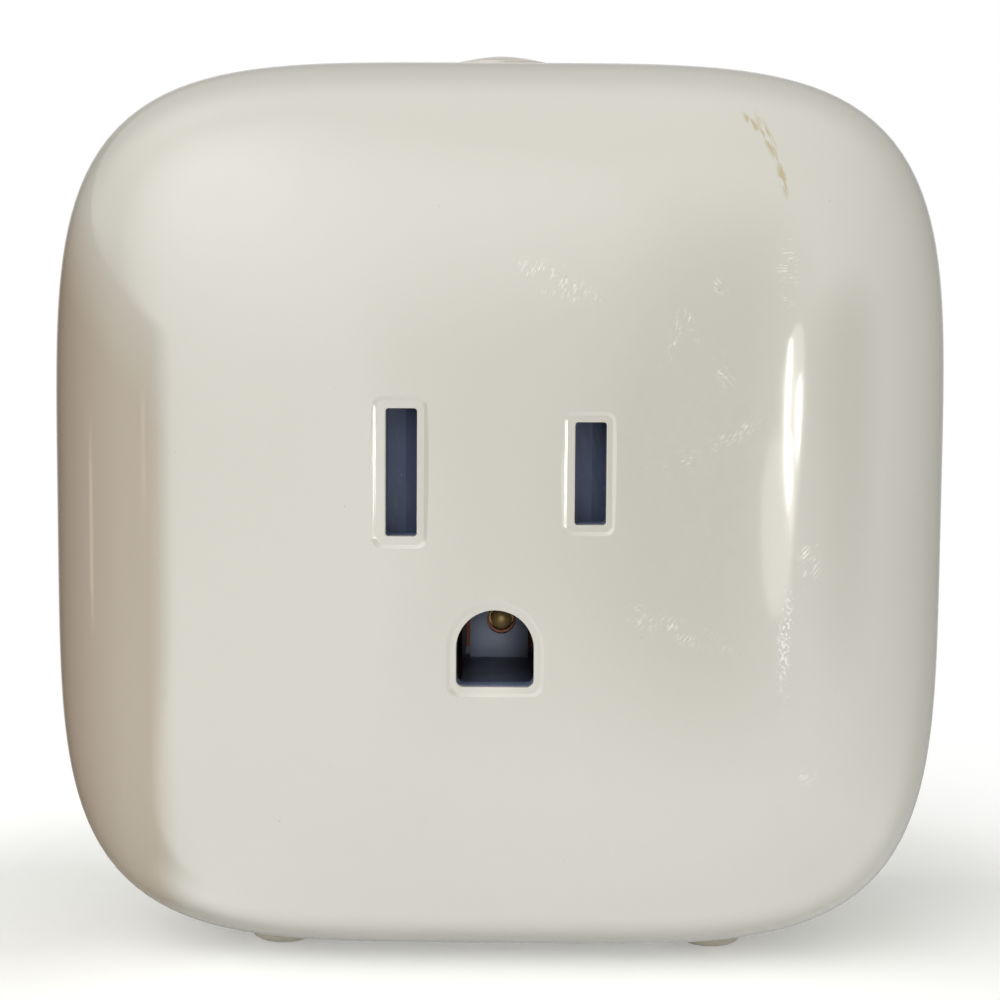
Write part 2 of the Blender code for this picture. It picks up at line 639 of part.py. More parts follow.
def make_blade_contact(name, x):
    """Fold a brass contact: two leaves that grip a blade, a web, and a tail into the board."""
    leaf, flare, sheet = 1.2 * MM, 2.2 * MM, 0.5 * MM
    mouth, neck, web = -29.6 * MM, -27.6 * MM, -17.9 * MM
    path = [(x - flare, mouth), (x - leaf, neck), (x - leaf, web),
            (x + leaf, web), (x + leaf, neck), (x + flare, mouth)]
    contact = part(strip(name, path, BLADE_Z - 3.5 * MM, BLADE_Z + 3.5 * MM, sheet), "brass", False)
    low, high = (x - 0.4 * MM, web, 4.6 * MM), (x + 0.4 * MM, BOARD_REAR + 0.7 * MM, 7.0 * MM)
    join(contact, block(f"{name}_tail", low, high))


def make_ground_contact():
    """Fold the ground contact, whose web is riveted by the ground pin."""
    leaf, flare, sheet = 2.75 * MM, 3.5 * MM, 0.5 * MM
    mouth, neck, web = -29.8 * MM, -27.8 * MM, -15.6 * MM
    path = [(-flare, mouth), (-leaf, neck), (-leaf, web), (leaf, web), (leaf, neck), (flare, mouth)]
    folded = strip("ground_contact", path, GROUND_Z - 3.4 * MM, GROUND_Z + 2.2 * MM, sheet)
    contact = part(folded, "brass", False)
    start, end = along_y(STEM_X, STEM_Z, web - OVERSHOOT, web + OVERSHOOT)
    cut(contact, rod("rivet_hole", start, end, RIVET_HEAD + 0.15 * MM, 16))


def make_blade(name, x):
    """Stamp a wall blade: tapered tip with its hole, shoulder in the cover, tail into the board."""
    half, shoulder, chamfer = BLADE_WIDTH / 2, 5.0 * MM, 1.2 * MM
    seat, back, tail_end = -COVER_FLOOR - GAP, -4.6 * MM, BOARD_FRONT - 0.7 * MM
    tail_low, tail_high = 0.8 * MM, 3.2 * MM
    outline = [(BLADE_LENGTH, BLADE_Z - half + chamfer), (BLADE_LENGTH, BLADE_Z + half - chamfer),
               (BLADE_LENGTH - chamfer, BLADE_Z + half), (seat, BLADE_Z + half),
               (seat, BLADE_Z + shoulder), (back, BLADE_Z + shoulder), (back, tail_high),
               (tail_end, tail_high), (tail_end, tail_low), (back, tail_low),
               (back, BLADE_Z - shoulder), (seat, BLADE_Z - shoulder), (seat, BLADE_Z - half),
               (BLADE_LENGTH - chamfer, BLADE_Z - half)]
    low, high = x - BLADE_THICKNESS / 2, x + BLADE_THICKNESS / 2
    blade = part(outline_solid(name, outline, "X", low, high), "brass", False)
    hole_y, hole_radius = 11.7 * MM, 1.55 * MM
    start, end = (low - OVERSHOOT, hole_y, BLADE_Z), (high + OVERSHOOT, hole_y, BLADE_Z)
    cut(blade, rod(f"{name}_hole", start, end, hole_radius))


def make_ground_pin():
    """Turn the ground pin: round tip outside, collar in the cover, and an offset stem with a rivet head."""
    collar, stem = 4.0 * MM, 1.4 * MM
    seat, collar_front, stem_front = -COVER_FLOOR - GAP, -4.6 * MM, -13.9 * MM
    rivet_back, rivet_tip = -16.2 * MM, -16.9 * MM
    tip, head = [], []
    for step in range(5):
        angle = math.pi / 2 * step / 4
        tip.append((PIN_RADIUS * math.sin(angle), PIN_LENGTH - PIN_RADIUS * (1 - math.cos(angle))))
        head.append((RIVET_HEAD * math.cos(angle), rivet_back + (rivet_tip - rivet_back) * math.sin(angle)))
    head[-1] = (0, rivet_tip)
    profile = tip + [(PIN_RADIUS, seat), (collar, seat), (collar, collar_front), (0, collar_front)]
    pin = part(turned("ground_pin", profile, (0, 0, GROUND_Z), "Y", 20), "brass")
    root = collar_front + 0.5 * MM
    profile = [(0, root), (stem, root), (stem, stem_front), (RIVET_RADIUS, stem_front),
               (RIVET_RADIUS, rivet_back)] + head
    join(pin, turned("ground_stem", profile, (STEM_X, 0, STEM_Z), "Y", 20))


def make_blade_retainer():
    """Make the plate that clamps the prongs' shoulders into the cover, and its two screws."""
    outline = rounded_rectangle((0, -1.6 * MM), 26.0 * MM, 22.0 * MM, 2.0 * MM, 3)
    plate = outline_solid("blade_retainer", outline, "Y", RETAINER_FRONT, RETAINER_REAR)
    part(plate, "black_plastic", False)
    ends = (RETAINER_FRONT - OVERSHOOT, RETAINER_REAR + OVERSHOOT)
    for name, x in (("neutral", -BLADE_X), ("hot", BLADE_X)):
        way = rounded_rectangle((x, 2.0 * MM), 2.3 * MM, 3.2 * MM, 0.3 * MM, 2)
        cut(plate, outline_solid(f"{name}_retainer_way", way, "Y", *ends))
    start, end = along_y(STEM_X, STEM_Z, *ends)
    cut(plate, rod("stem_retainer_way", start, end, 1.8 * MM))
    for name, x in (("left", -RETAINER_SCREW_X), ("right", RETAINER_SCREW_X)):
        start, end = along_y(x, RETAINER_SCREW_Z, *ends)
        cut(plate, rod(f"retainer_way_{name}", start, end, RETAINER_SCREW_RADIUS + GAP, 12))
        screw(f"retainer_screw_{name}", x, RETAINER_SCREW_Z, 1.8 * MM, 1.2 * MM, RETAINER_FRONT - GAP,
              -2.0 * MM, RETAINER_SCREW_RADIUS, False)


def make_board():
    """Make the circuit board with its openings for screws, prong tails and contact tails."""
    outline = rounded_rectangle((0, 0), 2 * BOARD_HALF, 2 * BOARD_HALF, 5.0 * MM, 4)
    board = part(outline_solid("circuit_board", outline, "Y", BOARD_FRONT, BOARD_REAR), "board_green", False)
    ends = (BOARD_FRONT - OVERSHOOT, BOARD_REAR + OVERSHOOT)
    for number, (x, z) in enumerate(corner_points(), 1):
        start, end = along_y(x, z, *ends)
        cut(board, rod(f"board_hole_{number}", start, end, SCREW_RADIUS + GAP, 12))
    for name, x in (("neutral", -BLADE_X), ("hot", BLADE_X)):
        for kind, half, low, high in (("prong", 1.05, 0.5, 3.5), ("contact", 0.7, 4.3, 7.3)):
            first = (x - half * MM, ends[0], low * MM)
            cut(board, block(f"{name}_{kind}_way", first, (x + half * MM, ends[1], high * MM)))
    start, end = along_y(STEM_X, STEM_Z, *ends)
    cut(board, rod("board_stem_way", start, end, 1.9 * MM))


def make_relay():
    """Make the relay: base, cover, coil on a yoke, and the armature that closes its contact."""
    half_x, half_z = 3.8 * MM, 10.2 * MM
    base_top, cover_top, wall = -14.8 * MM, -28.4 * MM, 0.8 * MM
    low_x, high_x = RELAY_X - half_x, RELAY_X + half_x
    part(block("relay_base", (low_x, base_top, -half_z), (high_x, SEAT, half_z)), "chip_black", False)
    cover_low, cover_high = (low_x, cover_top, -half_z), (high_x, base_top - GAP, half_z)
    cover = part(rounded_block("relay_cover", cover_low, cover_high, 0.4 * MM), "relay_blue", False)
    cut(cover, block("relay_hollow", (low_x + wall, cover_top + wall, wall - half_z),
                     (high_x - wall, base_top + OVERSHOOT, half_z - wall)))

    core_y, core_radius, core_tip = -23.2 * MM, 0.9 * MM, 3.45 * MM
    coil_low, coil_high, flange, winding, bore = -7.4 * MM, 2.6 * MM, 2.8 * MM, 2.5 * MM, 1.2 * MM
    cheek = 0.6 * MM
    spool = [(flange, coil_high), (flange, coil_high - cheek), (winding, coil_high - cheek),
             (winding, coil_low + cheek), (flange, coil_low + cheek), (flange, coil_low),
             (bore, coil_low), (bore, coil_high)]
    part(turned("relay_coil", spool, (RELAY_X, core_y, 0), "Z", 20, True), "copper")

    half_strip, sheet = 2.0 * MM, 0.8 * MM
    yoke_y, yoke_end, yoke_top = -19.2 * MM, -9.0 * MM, 3.6 * MM
    yoke = part(block("relay_yoke", (RELAY_X - half_strip, yoke_y - sheet, yoke_end),
                      (RELAY_X + half_strip, yoke_y, yoke_top)), "steel", False)
    end_plate = block("yoke_end", (RELAY_X - half_strip, -26.2 * MM, yoke_end),
                      (RELAY_X + half_strip, yoke_y - sheet / 2, yoke_end + sheet))
    core_root = (RELAY_X, core_y, yoke_end + sheet / 2)
    core = rod("yoke_core", core_root, (RELAY_X, core_y, core_tip), core_radius, 16)
    join(yoke, end_plate, core)

    hinge = (RELAY_X, ARMATURE_Y, ARMATURE_Z)
    plate_low, plate_high = 4.0 * MM, 4.8 * MM
    armature = part(block("relay_armature", (RELAY_X - half_strip, -26.4 * MM, plate_low),
                          (RELAY_X + half_strip, -18.9 * MM, plate_high)), "steel", False)
    origin_to(armature, hinge)
    leaf = part(block("relay_moving_contact", (RELAY_X - 1.4 * MM, -18.6 * MM, 4.2 * MM),
                      (RELAY_X + 1.4 * MM, -15.6 * MM, 4.5 * MM)), "copper", False)
    origin_to(leaf, hinge)
    button_y = -16.6 * MM
    start, end = (RELAY_X, button_y, 4.3 * MM), (RELAY_X, button_y, 5.3 * MM)
    join(leaf, rod("contact_button", start, end, 0.8 * MM, 12))
    part(block("relay_fixed_contact", (RELAY_X - 1.2 * MM, -17.6 * MM, 5.7 * MM),
               (RELAY_X + 1.2 * MM, base_top - GAP, 6.5 * MM)), "copper", False)


def make_tact_switch():
    """Make the upright push switch on the board's top edge and its plunger."""
    half, front, low, high = 3.0 * MM, SEAT - 6.2 * MM, 19.4 * MM, 25.4 * MM
    plunger_radius, plunger_low, plunger_high = 1.7 * MM, 23.9 * MM, 26.6 * MM
    body = part(block("tact_switch_body", (-half, front, low), (half, SEAT, high)), "chip_black", False)
    well_floor, well_mouth = (0, BUTTON_Y, 23.4 * MM), (0, BUTTON_Y, high + OVERSHOOT)
    cut(body, rod("plunger_well", well_floor, well_mouth, plunger_radius + GAP))
    profile = [(0, plunger_high), (plunger_radius, plunger_high),
               (plunger_radius, plunger_low), (0, plunger_low)]
    part(turned("tact_switch_plunger", profile, (0, BUTTON_Y, 0), "Z", 20), "chip_black")


def make_radio():
    """Make the radio module below the socket, with its shield."""
    low_z, high_z, half, thickness = -24.6 * MM, -14.4 * MM, 9.0 * MM, 0.8 * MM
    front = SEAT - thickness
    part(block("wifi_module", (-half, front, low_z), (half, SEAT, high_z)), "board_green", False)
    shield_low = (-half + 0.6 * MM, front - GAP - 2.3 * MM, low_z + 1.0 * MM)
    shield_high = (half - 6.4 * MM, front - GAP, high_z - 0.8 * MM)
    part(rounded_block("wifi_shield", shield_low, shield_high, 0.3 * MM), "steel", False)


def make_supply():
    """Make the low-voltage supply and the protection parts around the socket block."""
    can, can_top, roll = 4.0 * MM, -25.0 * MM, 0.5 * MM
    profile = [(0, SEAT), (can - roll, SEAT), (can, SEAT - roll), (can, can_top + roll),
               (can - roll, can_top), (0, can_top)]
    part(turned("bulk_capacitor", profile, (20.2 * MM, 0, -7.0 * MM), "Y", 20), "can_sleeve")

    core_x, core_z = 19.7 * MM, 4.3 * MM
    core_low = (core_x - 4.5 * MM, -22.4 * MM, core_z - 2.0 * MM)
    core_high = (core_x + 4.5 * MM, SEAT, core_z + 2.0 * MM)
    core = part(block("transformer_core", core_low, core_high), "ferrite", False)
    for name, middle in (("left", core_x - 2.0 * MM), ("right", core_x + 2.0 * MM)):
        low = (middle - 0.9 * MM, -20.8 * MM, core_low[2] - OVERSHOOT)
        high = (middle + 0.9 * MM, -14.6 * MM, core_high[2] + OVERSHOOT)
        cut(core, block(f"core_window_{name}", low, high))
    low = (core_x - 2.6 * MM, -20.5 * MM, core_z - 4.9 * MM)
    high = (core_x + 2.6 * MM, -14.9 * MM, core_z + 4.9 * MM)
    winding = part(block("transformer_winding", low, high), "tape_yellow", False)
    low = (core_x - 1.4 * MM, -20.5 * MM - OVERSHOOT, core_z - 2.3 * MM)
    cut(winding, block("winding_way", low, (core_x + 1.4 * MM, -14.9 * MM + OVERSHOOT, core_z + 2.3 * MM)))

    low, high = (16.0 * MM, -15.4 * MM, 12.2 * MM), (22.0 * MM, SEAT, 16.0 * MM)
    part(rounded_block("bridge_rectifier", low, high, 0.3 * MM), "chip_black", False)

    drum, neck, choke_front = 2.4 * MM, 1.7 * MM, -19.0 * MM
    cheek = 0.9 * MM
    profile = [(0, SEAT), (drum, SEAT), (drum, SEAT - cheek), (neck, SEAT - cheek),
               (neck, choke_front + cheek), (drum, choke_front + cheek), (drum, choke_front),
               (0, choke_front)]
    part(turned("choke", profile, (18.6 * MM, 0, -14.2 * MM), "Y", 16), "copper")

    glass, cap, fuse_left, fuse_right = 1.5 * MM, 1.75 * MM, 5.5 * MM, 14.5 * MM
    cap_length = 2.2 * MM
    inner_right, inner_left = fuse_right - cap_length, fuse_left + cap_length
    profile = [(0, fuse_right), (cap, fuse_right), (cap, inner_right), (glass, inner_right),
               (glass, inner_left), (cap, inner_left), (cap, fuse_left), (0, fuse_left)]
    part(turned("fuse", profile, (0, -14.8 * MM, 16.2 * MM), "X", 16), "fuse_glass")

    disc, disc_low, disc_high, disc_edge = 3.6 * MM, 19.9 * MM, 23.1 * MM, 0.6 * MM
    profile = [(0, disc_high), (disc - disc_edge, disc_high), (disc, disc_high - disc_edge),
               (disc, disc_low + disc_edge), (disc - disc_edge, disc_low), (0, disc_low)]
    part(turned("varistor", profile, (-9.5 * MM, SEAT - disc, 0), "Z", 20), "disc_blue")

    low, high = (-14.5 * MM, -22.0 * MM, 13.0 * MM), (-5.0 * MM, SEAT, 18.4 * MM)
    part(rounded_block("safety_capacitor", low, high, 0.4 * MM), "tape_yellow", False)
    low, high = (-23.0 * MM, SEAT - 1.0 * MM, -15.6 * MM), (-16.0 * MM, SEAT, -12.2 * MM)
    part(block("shunt_resistor", low, high), "chip_black", False)
    low, high = (6.0 * MM, SEAT - 1.0 * MM, 22.0 * MM), (8.0 * MM, SEAT, 23.2 * MM)
    part(rounded_block("status_led", low, high, 0.2 * MM), "lens_white", False)


make_front_shell()
make_face_insert()
make_face_backing()
make_rear_cover()
make_case_screws()
make_button()
make_feet()
make_socket_cap()
make_socket_body()
make_shutter()
make_shutter_spring()
make_blade_contact("neutral_contact", -BLADE_X)
make_blade_contact("hot_contact", BLADE_X)
make_ground_contact()
make_blade("neutral_blade", -BLADE_X)
make_blade("hot_blade", BLADE_X)
make_ground_pin()
make_blade_retainer()
make_board()
make_relay()
make_tact_switch()
make_radio()
make_supply()
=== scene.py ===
# %% [markdown]
# # A smart plug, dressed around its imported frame
# The frame holds every piece at its true place. This lesson swaps the pieces that show for finer
# ones, paints all of them, and lights the result like the photograph.

# %% Load the frame
import json
import math

import bmesh
import bpy
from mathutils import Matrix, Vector


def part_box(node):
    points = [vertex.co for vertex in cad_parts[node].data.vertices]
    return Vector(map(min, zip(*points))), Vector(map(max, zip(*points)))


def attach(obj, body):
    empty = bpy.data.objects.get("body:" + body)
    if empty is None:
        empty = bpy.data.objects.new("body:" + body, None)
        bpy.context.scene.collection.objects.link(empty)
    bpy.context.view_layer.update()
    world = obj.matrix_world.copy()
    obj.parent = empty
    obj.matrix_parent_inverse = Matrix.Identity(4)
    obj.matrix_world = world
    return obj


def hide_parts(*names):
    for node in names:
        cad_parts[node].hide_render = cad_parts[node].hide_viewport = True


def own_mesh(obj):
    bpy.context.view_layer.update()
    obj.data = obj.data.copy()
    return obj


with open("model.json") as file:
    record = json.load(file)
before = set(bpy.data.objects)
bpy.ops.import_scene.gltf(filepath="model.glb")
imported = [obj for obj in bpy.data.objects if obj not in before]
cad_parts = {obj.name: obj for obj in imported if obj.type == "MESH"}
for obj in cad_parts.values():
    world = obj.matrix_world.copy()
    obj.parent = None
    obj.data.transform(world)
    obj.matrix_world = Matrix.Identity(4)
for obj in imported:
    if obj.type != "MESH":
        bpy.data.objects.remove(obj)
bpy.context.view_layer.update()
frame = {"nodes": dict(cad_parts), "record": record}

# %% [markdown]
# ## Sizes taken from the frame
# Asking the frame for its boxes keeps the fine pieces in step with the solids: the shell's half
# width, its seam and its front, the prongs' places, the button and the feet.

# %% Sizes
MM = 0.001
GAP = 0.3 * MM
PAST = 1.0 * MM
shell_low, shell_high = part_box("front_shell")
insert_low, insert_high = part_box("face_insert")
cover_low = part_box("rear_cover")[0]
blade_low, blade_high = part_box("hot_blade")
pin_low, pin_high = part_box("ground_pin")
button_low, button_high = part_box("power_button")
foot_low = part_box("foot_front_left")[0]
HALF = shell_high.x
FRONT = shell_low.y
SEAM = shell_high.y
DOME = 15.0 * MM
WIDEST = FRONT + DOME
OUTLINE_POWER = 4.4
DOME_POWER = 2.6
WALL = 2.2 * MM
BLADE_X = (blade_low.x + blade_high.x) / 2
BLADE_Z = (blade_low.z + blade_high.z) / 2
PIN_RADIUS = 4.75 / 2 * MM
GROUND_Z = (pin_low.z + pin_high.z) / 2
FLOOR = foot_low.z
print("shell half width", HALF, "front", FRONT, "seam", SEAM)

# %% [markdown]
# ## The one modelling tool: a tower of rings
# Most moulded and turned parts are stacks of outlines. By hand: add a filled circle, go into edit
# mode, then press E and scale, again and again. The function below does just that. Each vertex
# carries its place on the ring as an attribute, so every extruded copy knows where it belongs.

# %% Tower of rings
def tower(name, rings):
    """Extrude a filled circle through the rings of points, and close both ends."""
    bpy.ops.object.select_all(action="DESELECT")
    bpy.ops.mesh.primitive_circle_add(vertices=len(rings[0]), fill_type="NGON")
    piece = bpy.context.object
    piece.name = name
    bpy.ops.object.mode_set(mode="EDIT")
    mesh = bmesh.from_edit_mesh(piece.data)
    mesh.verts.layers.int.new("place")
    mesh.verts.ensure_lookup_table()
    place = mesh.verts.layers.int["place"]
    for number, vert in enumerate(mesh.verts):
        vert[place] = number
    for number, ring in enumerate(rings):
        if number == 0:
            bpy.ops.mesh.select_all(action="SELECT")
        else:
            bpy.ops.mesh.extrude_region()
        mesh = bmesh.from_edit_mesh(piece.data)
        place = mesh.verts.layers.int["place"]
        for vert in mesh.verts:
            if vert.select:
                vert.co = ring[vert[place]]
        bmesh.update_edit_mesh(piece.data)
    bpy.ops.mesh.select_all(action="SELECT")
    bpy.ops.mesh.normals_make_consistent(inside=False)
    bpy.ops.object.mode_set(mode="OBJECT")
    piece.data.attributes.remove(piece.data.attributes["place"])
    return piece


def carve(piece, tool, operation="DIFFERENCE"):
    """Cut the tool out of the piece, or add it, and put the tool away."""
    bpy.context.view_layer.objects.active = piece
    boolean = piece.modifiers.new("carve", "BOOLEAN")
    boolean.operation = operation
    boolean.object = tool
    bpy.ops.object.modifier_apply(modifier=boolean.name)
    bpy.data.objects.remove(tool, do_unlink=True)


def soften(piece, degrees=35):
    """Shade smooth, keep real edges sharp, and let large faces steer the normals."""
    bpy.ops.object.select_all(action="DESELECT")
    piece.select_set(True)
    bpy.context.view_layer.objects.active = piece
    bpy.ops.object.shade_smooth_by_angle(angle=math.radians(degrees))
    weighted = piece.modifiers.new("weighted", "WEIGHTED_NORMAL")
    weighted.keep_sharp = True
    bpy.ops.object.modifier_apply(modifier=weighted.name)


def fit(piece, *nodes):
    """Let the piece stand for CAD nodes and ride on their body."""
    body = next(b for b, names in frame["record"]["behaviour"]["bodies"].items() if nodes[0] in names)
    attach(piece, body)
    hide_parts(*nodes)
    print(piece.name, len(piece.data.polygons), "faces, on", body)


SLOT_OF = {entry["node"]: entry["material_slot"] for entry in frame["record"]["subparts"]}
print("modelling tools ready")

# %% [markdown]
# ## Outlines
# The body's outline is a squircle, flatter than a circle and rounder than a square. The face is a
# dome with the same idea front to back. Slots are rounded rectangles, and the ground hole is round
# above and flat below.

# %% Outlines
def squircle(half, y, count=240):
    """Return the body's outline at one size and depth."""
    points = []
    for step in range(count):
        angle = 2 * math.pi * step / count
        x, z = math.cos(angle), math.sin(angle)
        reach = half / (abs(x) ** OUTLINE_POWER + abs(z) ** OUTLINE_POWER) ** (1 / OUTLINE_POWER)
        points.append((x * reach, y, z * reach))
    return points


def face_y(x, z):
    """Return the depth of the domed face at a place."""
    size = (abs(x) ** OUTLINE_POWER + abs(z) ** OUTLINE_POWER) ** (1 / OUTLINE_POWER) / HALF
    return WIDEST - DOME * (1 - size ** DOME_POWER) ** (1 / DOME_POWER)


def arc(x, z, radius, first, last, steps):
    """Return points of an arc as (X, Z)."""
    angles = [math.radians(first + (last - first) * step / steps) for step in range(steps + 1)]
    return [(x + radius * math.cos(a), z + radius * math.sin(a)) for a in angles]


def rounded(x, z, width, height, radius, steps=5):
    """Return a rounded rectangle as (X, Z)."""
    across, up = width / 2 - radius, height / 2 - radius
    points = []
    for side, level, first in ((1, 1, 0), (-1, 1, 90), (-1, -1, 180), (1, -1, 270)):
        points += arc(x + side * across, z + level * up, radius, first, first + 90, steps)
    return points


def ground_shape(margin):
    """Return the ground hole grown by a margin, as (X, Z)."""
    radius, drop, corner = 2.62 * MM + margin, 2.66 * MM + margin, 0.5 * MM + margin / 2
    side, base = radius - corner, GROUND_Z - drop + corner
    points = arc(0, GROUND_Z, radius, 0, 180, 24)
    return points + arc(-side, base, corner, 180, 270, 6) + arc(side, base, corner, 270, 360, 6)


def disc(x, middle, z, radius, axis, count=48):
    """Return a circle about Y or Z, with its middle at (x, middle, z)."""
    turn = [2 * math.pi * step / count for step in range(count)]
    if axis == "Y":
        return [(x + radius * math.cos(a), middle, z + radius * math.sin(a)) for a in turn]
    return [(x + radius * math.cos(a), middle + radius * math.sin(a), z) for a in turn]


def turned_y(name, x, z, profile, count=48):
    """Stack circles of (Y, radius) along Y."""
    return tower(name, [disc(x, y, z, radius, "Y", count) for y, radius in profile])


def turned_z(name, x, y, profile, count=48):
    """Stack circles of (Z, radius) along Z."""
    return tower(name, [disc(x, y, z, radius, "Z", count) for z, radius in profile])


def quarter(steps):
    """Return even angles from 0 to a right angle."""
    return [math.pi / 2 * step / steps for step in range(steps + 1)]


def round_over(start, end, radius_start, radius_end, steps):
    """Return a quarter ellipse of (level, radius) that leaves start upright and ends flat at end."""
    return [(start + (end - start) * math.sin(a), radius_end + (radius_start - radius_end) * math.cos(a))
            for a in quarter(steps)]


print("outlines ready")

# %% [markdown]
# ## The front shell
# One glossy moulding from the domed face back to the seam. A subdivided cube would pinch at the
# corners, so the outline is extruded through many rings instead, close together where the dome
# turns fastest. The inside is the same tower, one wall smaller, with posts for the screws left in
# and a flat seat behind the socket for the dark backing plate.

# %% Front shell
DOME_RINGS = 44
SEAM_RADIUS = 0.35 * MM
STRAIGHT_Y = -14 * MM
INNER_HALF = HALF - WALL
INNER_RINGS = 14
INNER_COUNT = 96
POST_X = 20.5 * MM
POST_REAR = -12.8 * MM
POST_RADIUS = 3.2 * MM
PILOT_RADIUS = 1.7 * MM
PILOT_END = -22 * MM
SEAT_ROOM = 0.4 * MM
SEAT_CORNER = 8.2 * MM
CORNERS = [(x, z) for x in (-POST_X, POST_X) for z in (-POST_X, POST_X)]


def dome(half, front, rings, smallest=0.02, count=240):
    """Return the rings of a dome from its widest place to the front."""
    depth = WIDEST - front
    stack = []
    for step in range(rings + 1):
        size = math.sin(math.pi / 2 * (1 - (1 - smallest) * step / rings))
        y = WIDEST - depth * (1 - size ** DOME_POWER) ** (1 / DOME_POWER)
        stack.append(squircle(half * size, y, count))
    return stack


seam_edge = [squircle(HALF - SEAM_RADIUS * (1 - math.sin(a)), SEAM - SEAM_RADIUS * (1 - math.cos(a)))
             for a in quarter(10)]
shell = tower("front_shell_fine", seam_edge + [squircle(HALF, STRAIGHT_Y)] + dome(HALF, FRONT, DOME_RINGS))

inner_mouth = [squircle(INNER_HALF, SEAM + PAST, INNER_COUNT)]
hollow = tower("hollow", inner_mouth + dome(INNER_HALF, FRONT + WALL, INNER_RINGS, 0.05, INNER_COUNT))
for post_x, post_z in CORNERS:
    carve(hollow, turned_y("post", post_x, post_z, [(POST_REAR, POST_RADIUS), (FRONT, POST_RADIUS)]))
carve(shell, hollow)
pilot = [(PILOT_END, PILOT_RADIUS), (POST_REAR + PAST, PILOT_RADIUS)]
for post_x, post_z in CORNERS:
    carve(shell, turned_y("pilot", post_x, post_z, pilot, 24))

insert_size, insert_middle = insert_high - insert_low, (insert_low + insert_high) / 2
seat = rounded(0, insert_middle.z, insert_size.x + SEAT_ROOM, insert_size.z + SEAT_ROOM, SEAT_CORNER, 8)
carve(shell, tower("seat", [[(x, y, z) for x, z in seat] for y in (insert_high.y, FRONT + WALL + 2 * PAST)]))
print("shell", len(shell.data.polygons), "faces")

# %% [markdown]
# ## Socket openings
# Each opening lies in a shallow step. Its rim is a narrow ramp, tilted so that the left side mirrors
# the lamps as a bright line, like the photograph. The cutter is a tower that follows the dome: the
# ramp, a flat floor, a small round edge, then the opening itself.

# %% Socket openings
RAMP_WIDTH = 0.26 * MM
RAMP_TURN = 2.2
RAMP_STEPS = 3
RAMP_LIFT = 0.05 * MM
SLOT_EDGE = 0.07 * MM
SLOT_WIDTH = 2.1 * MM
NEUTRAL_HEIGHT = 8.6 * MM
HOT_HEIGHT = 6.9 * MM
LEFT_LEAN = 0.14
OPENING_REAR = insert_high.y + PAST


def opening_profile(edge, tilt):
    """Return (margin, depth) pairs from outside the face down to the opening's wall."""
    first = edge + RAMP_LIFT / math.tan(math.radians(tilt - RAMP_TURN))
    pairs = [(first, -PAST), (first, -RAMP_LIFT)]
    margin, depth = edge, 0.0
    for step in range(RAMP_STEPS):
        slope = tilt - RAMP_TURN + 2 * RAMP_TURN * (step + 0.5) / RAMP_STEPS
        margin -= RAMP_WIDTH / RAMP_STEPS
        depth += math.tan(math.radians(slope)) * RAMP_WIDTH / RAMP_STEPS
        pairs.append((margin, depth))
    for angle in quarter(3):
        pairs.append((SLOT_EDGE * (1 - math.sin(angle)), depth + SLOT_EDGE * (1 - math.cos(angle))))
    return pairs


def opening(name, outline, edge, tilt):
    """Cut one opening whose outline is a function of the margin."""
    rings = [[(x, face_y(x, z) + depth, z) for x, z in outline(margin)]
             for margin, depth in opening_profile(edge, tilt)]
    rings.append([(x, OPENING_REAR, z) for x, z in outline(0)])
    carve(shell, tower(name, rings))


def slot_shape(x, height):
    """Return a slot's outline as a function of the margin, a little wider on the left."""
    return lambda m: rounded(x - LEFT_LEAN * m, BLADE_Z, SLOT_WIDTH + 2 * m, height + 2 * m,
                             0.2 * MM + 0.6 * m)


opening("neutral", slot_shape(-BLADE_X, NEUTRAL_HEIGHT), 0.82 * MM, 28.8)
opening("hot", slot_shape(BLADE_X, HOT_HEIGHT), 0.72 * MM, 21.3)
opening("ground", ground_shape, 0.68 * MM, 23.3)
print("openings cut,", len(shell.data.polygons), "faces")

# %% [markdown]
# ## Button hole and foot pockets
# Round tools through the top wall and into the underside.

# %% Holes in the shell
BUTTON_Y = (button_low.y + button_high.y) / 2
BUTTON_RADIUS = 3.6 * MM
POCKET_TOP = -31.0 * MM
FEET = [f"foot_{row}_{side}" for row in ("front", "rear") for side in ("left", "right")]
hole = [(28 * MM, BUTTON_RADIUS + GAP), (34 * MM, BUTTON_RADIUS + GAP)]
carve(shell, turned_z("button_hole", 0, BUTTON_Y, hole))
for foot in FEET:
    low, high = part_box(foot)
    radius = (high.x - low.x) / 2
    middle = (low + high) / 2
    pocket = [(FLOOR, radius + GAP), (POCKET_TOP, radius + GAP)]
    carve(shell, turned_z("pocket", middle.x, middle.y, pocket))
soften(shell, 12)
print("holes cut,", len(shell.data.polygons), "faces")

# %% [markdown]
# ## Exact normals on the dome
# Cutting holes splits the faces beside them into odd shapes, and a glossy surface shows that as
# faint dents. The dome's slope is known exactly, so its faces get their normals from it, by hand
# what a Data Transfer modifier does from an uncut copy.

# %% Exact normals
ON_DOME = 0.03 * MM
ALIGNED = 0.99


def dome_normal(x, z):
    """Return the outward direction of the dome at a place."""
    step = 0.01 * MM
    across = (face_y(x + step, z) - face_y(x - step, z)) / (2 * step)
    up = (face_y(x, z + step) - face_y(x, z - step)) / (2 * step)
    return Vector((across, -1.0, up)).normalized()


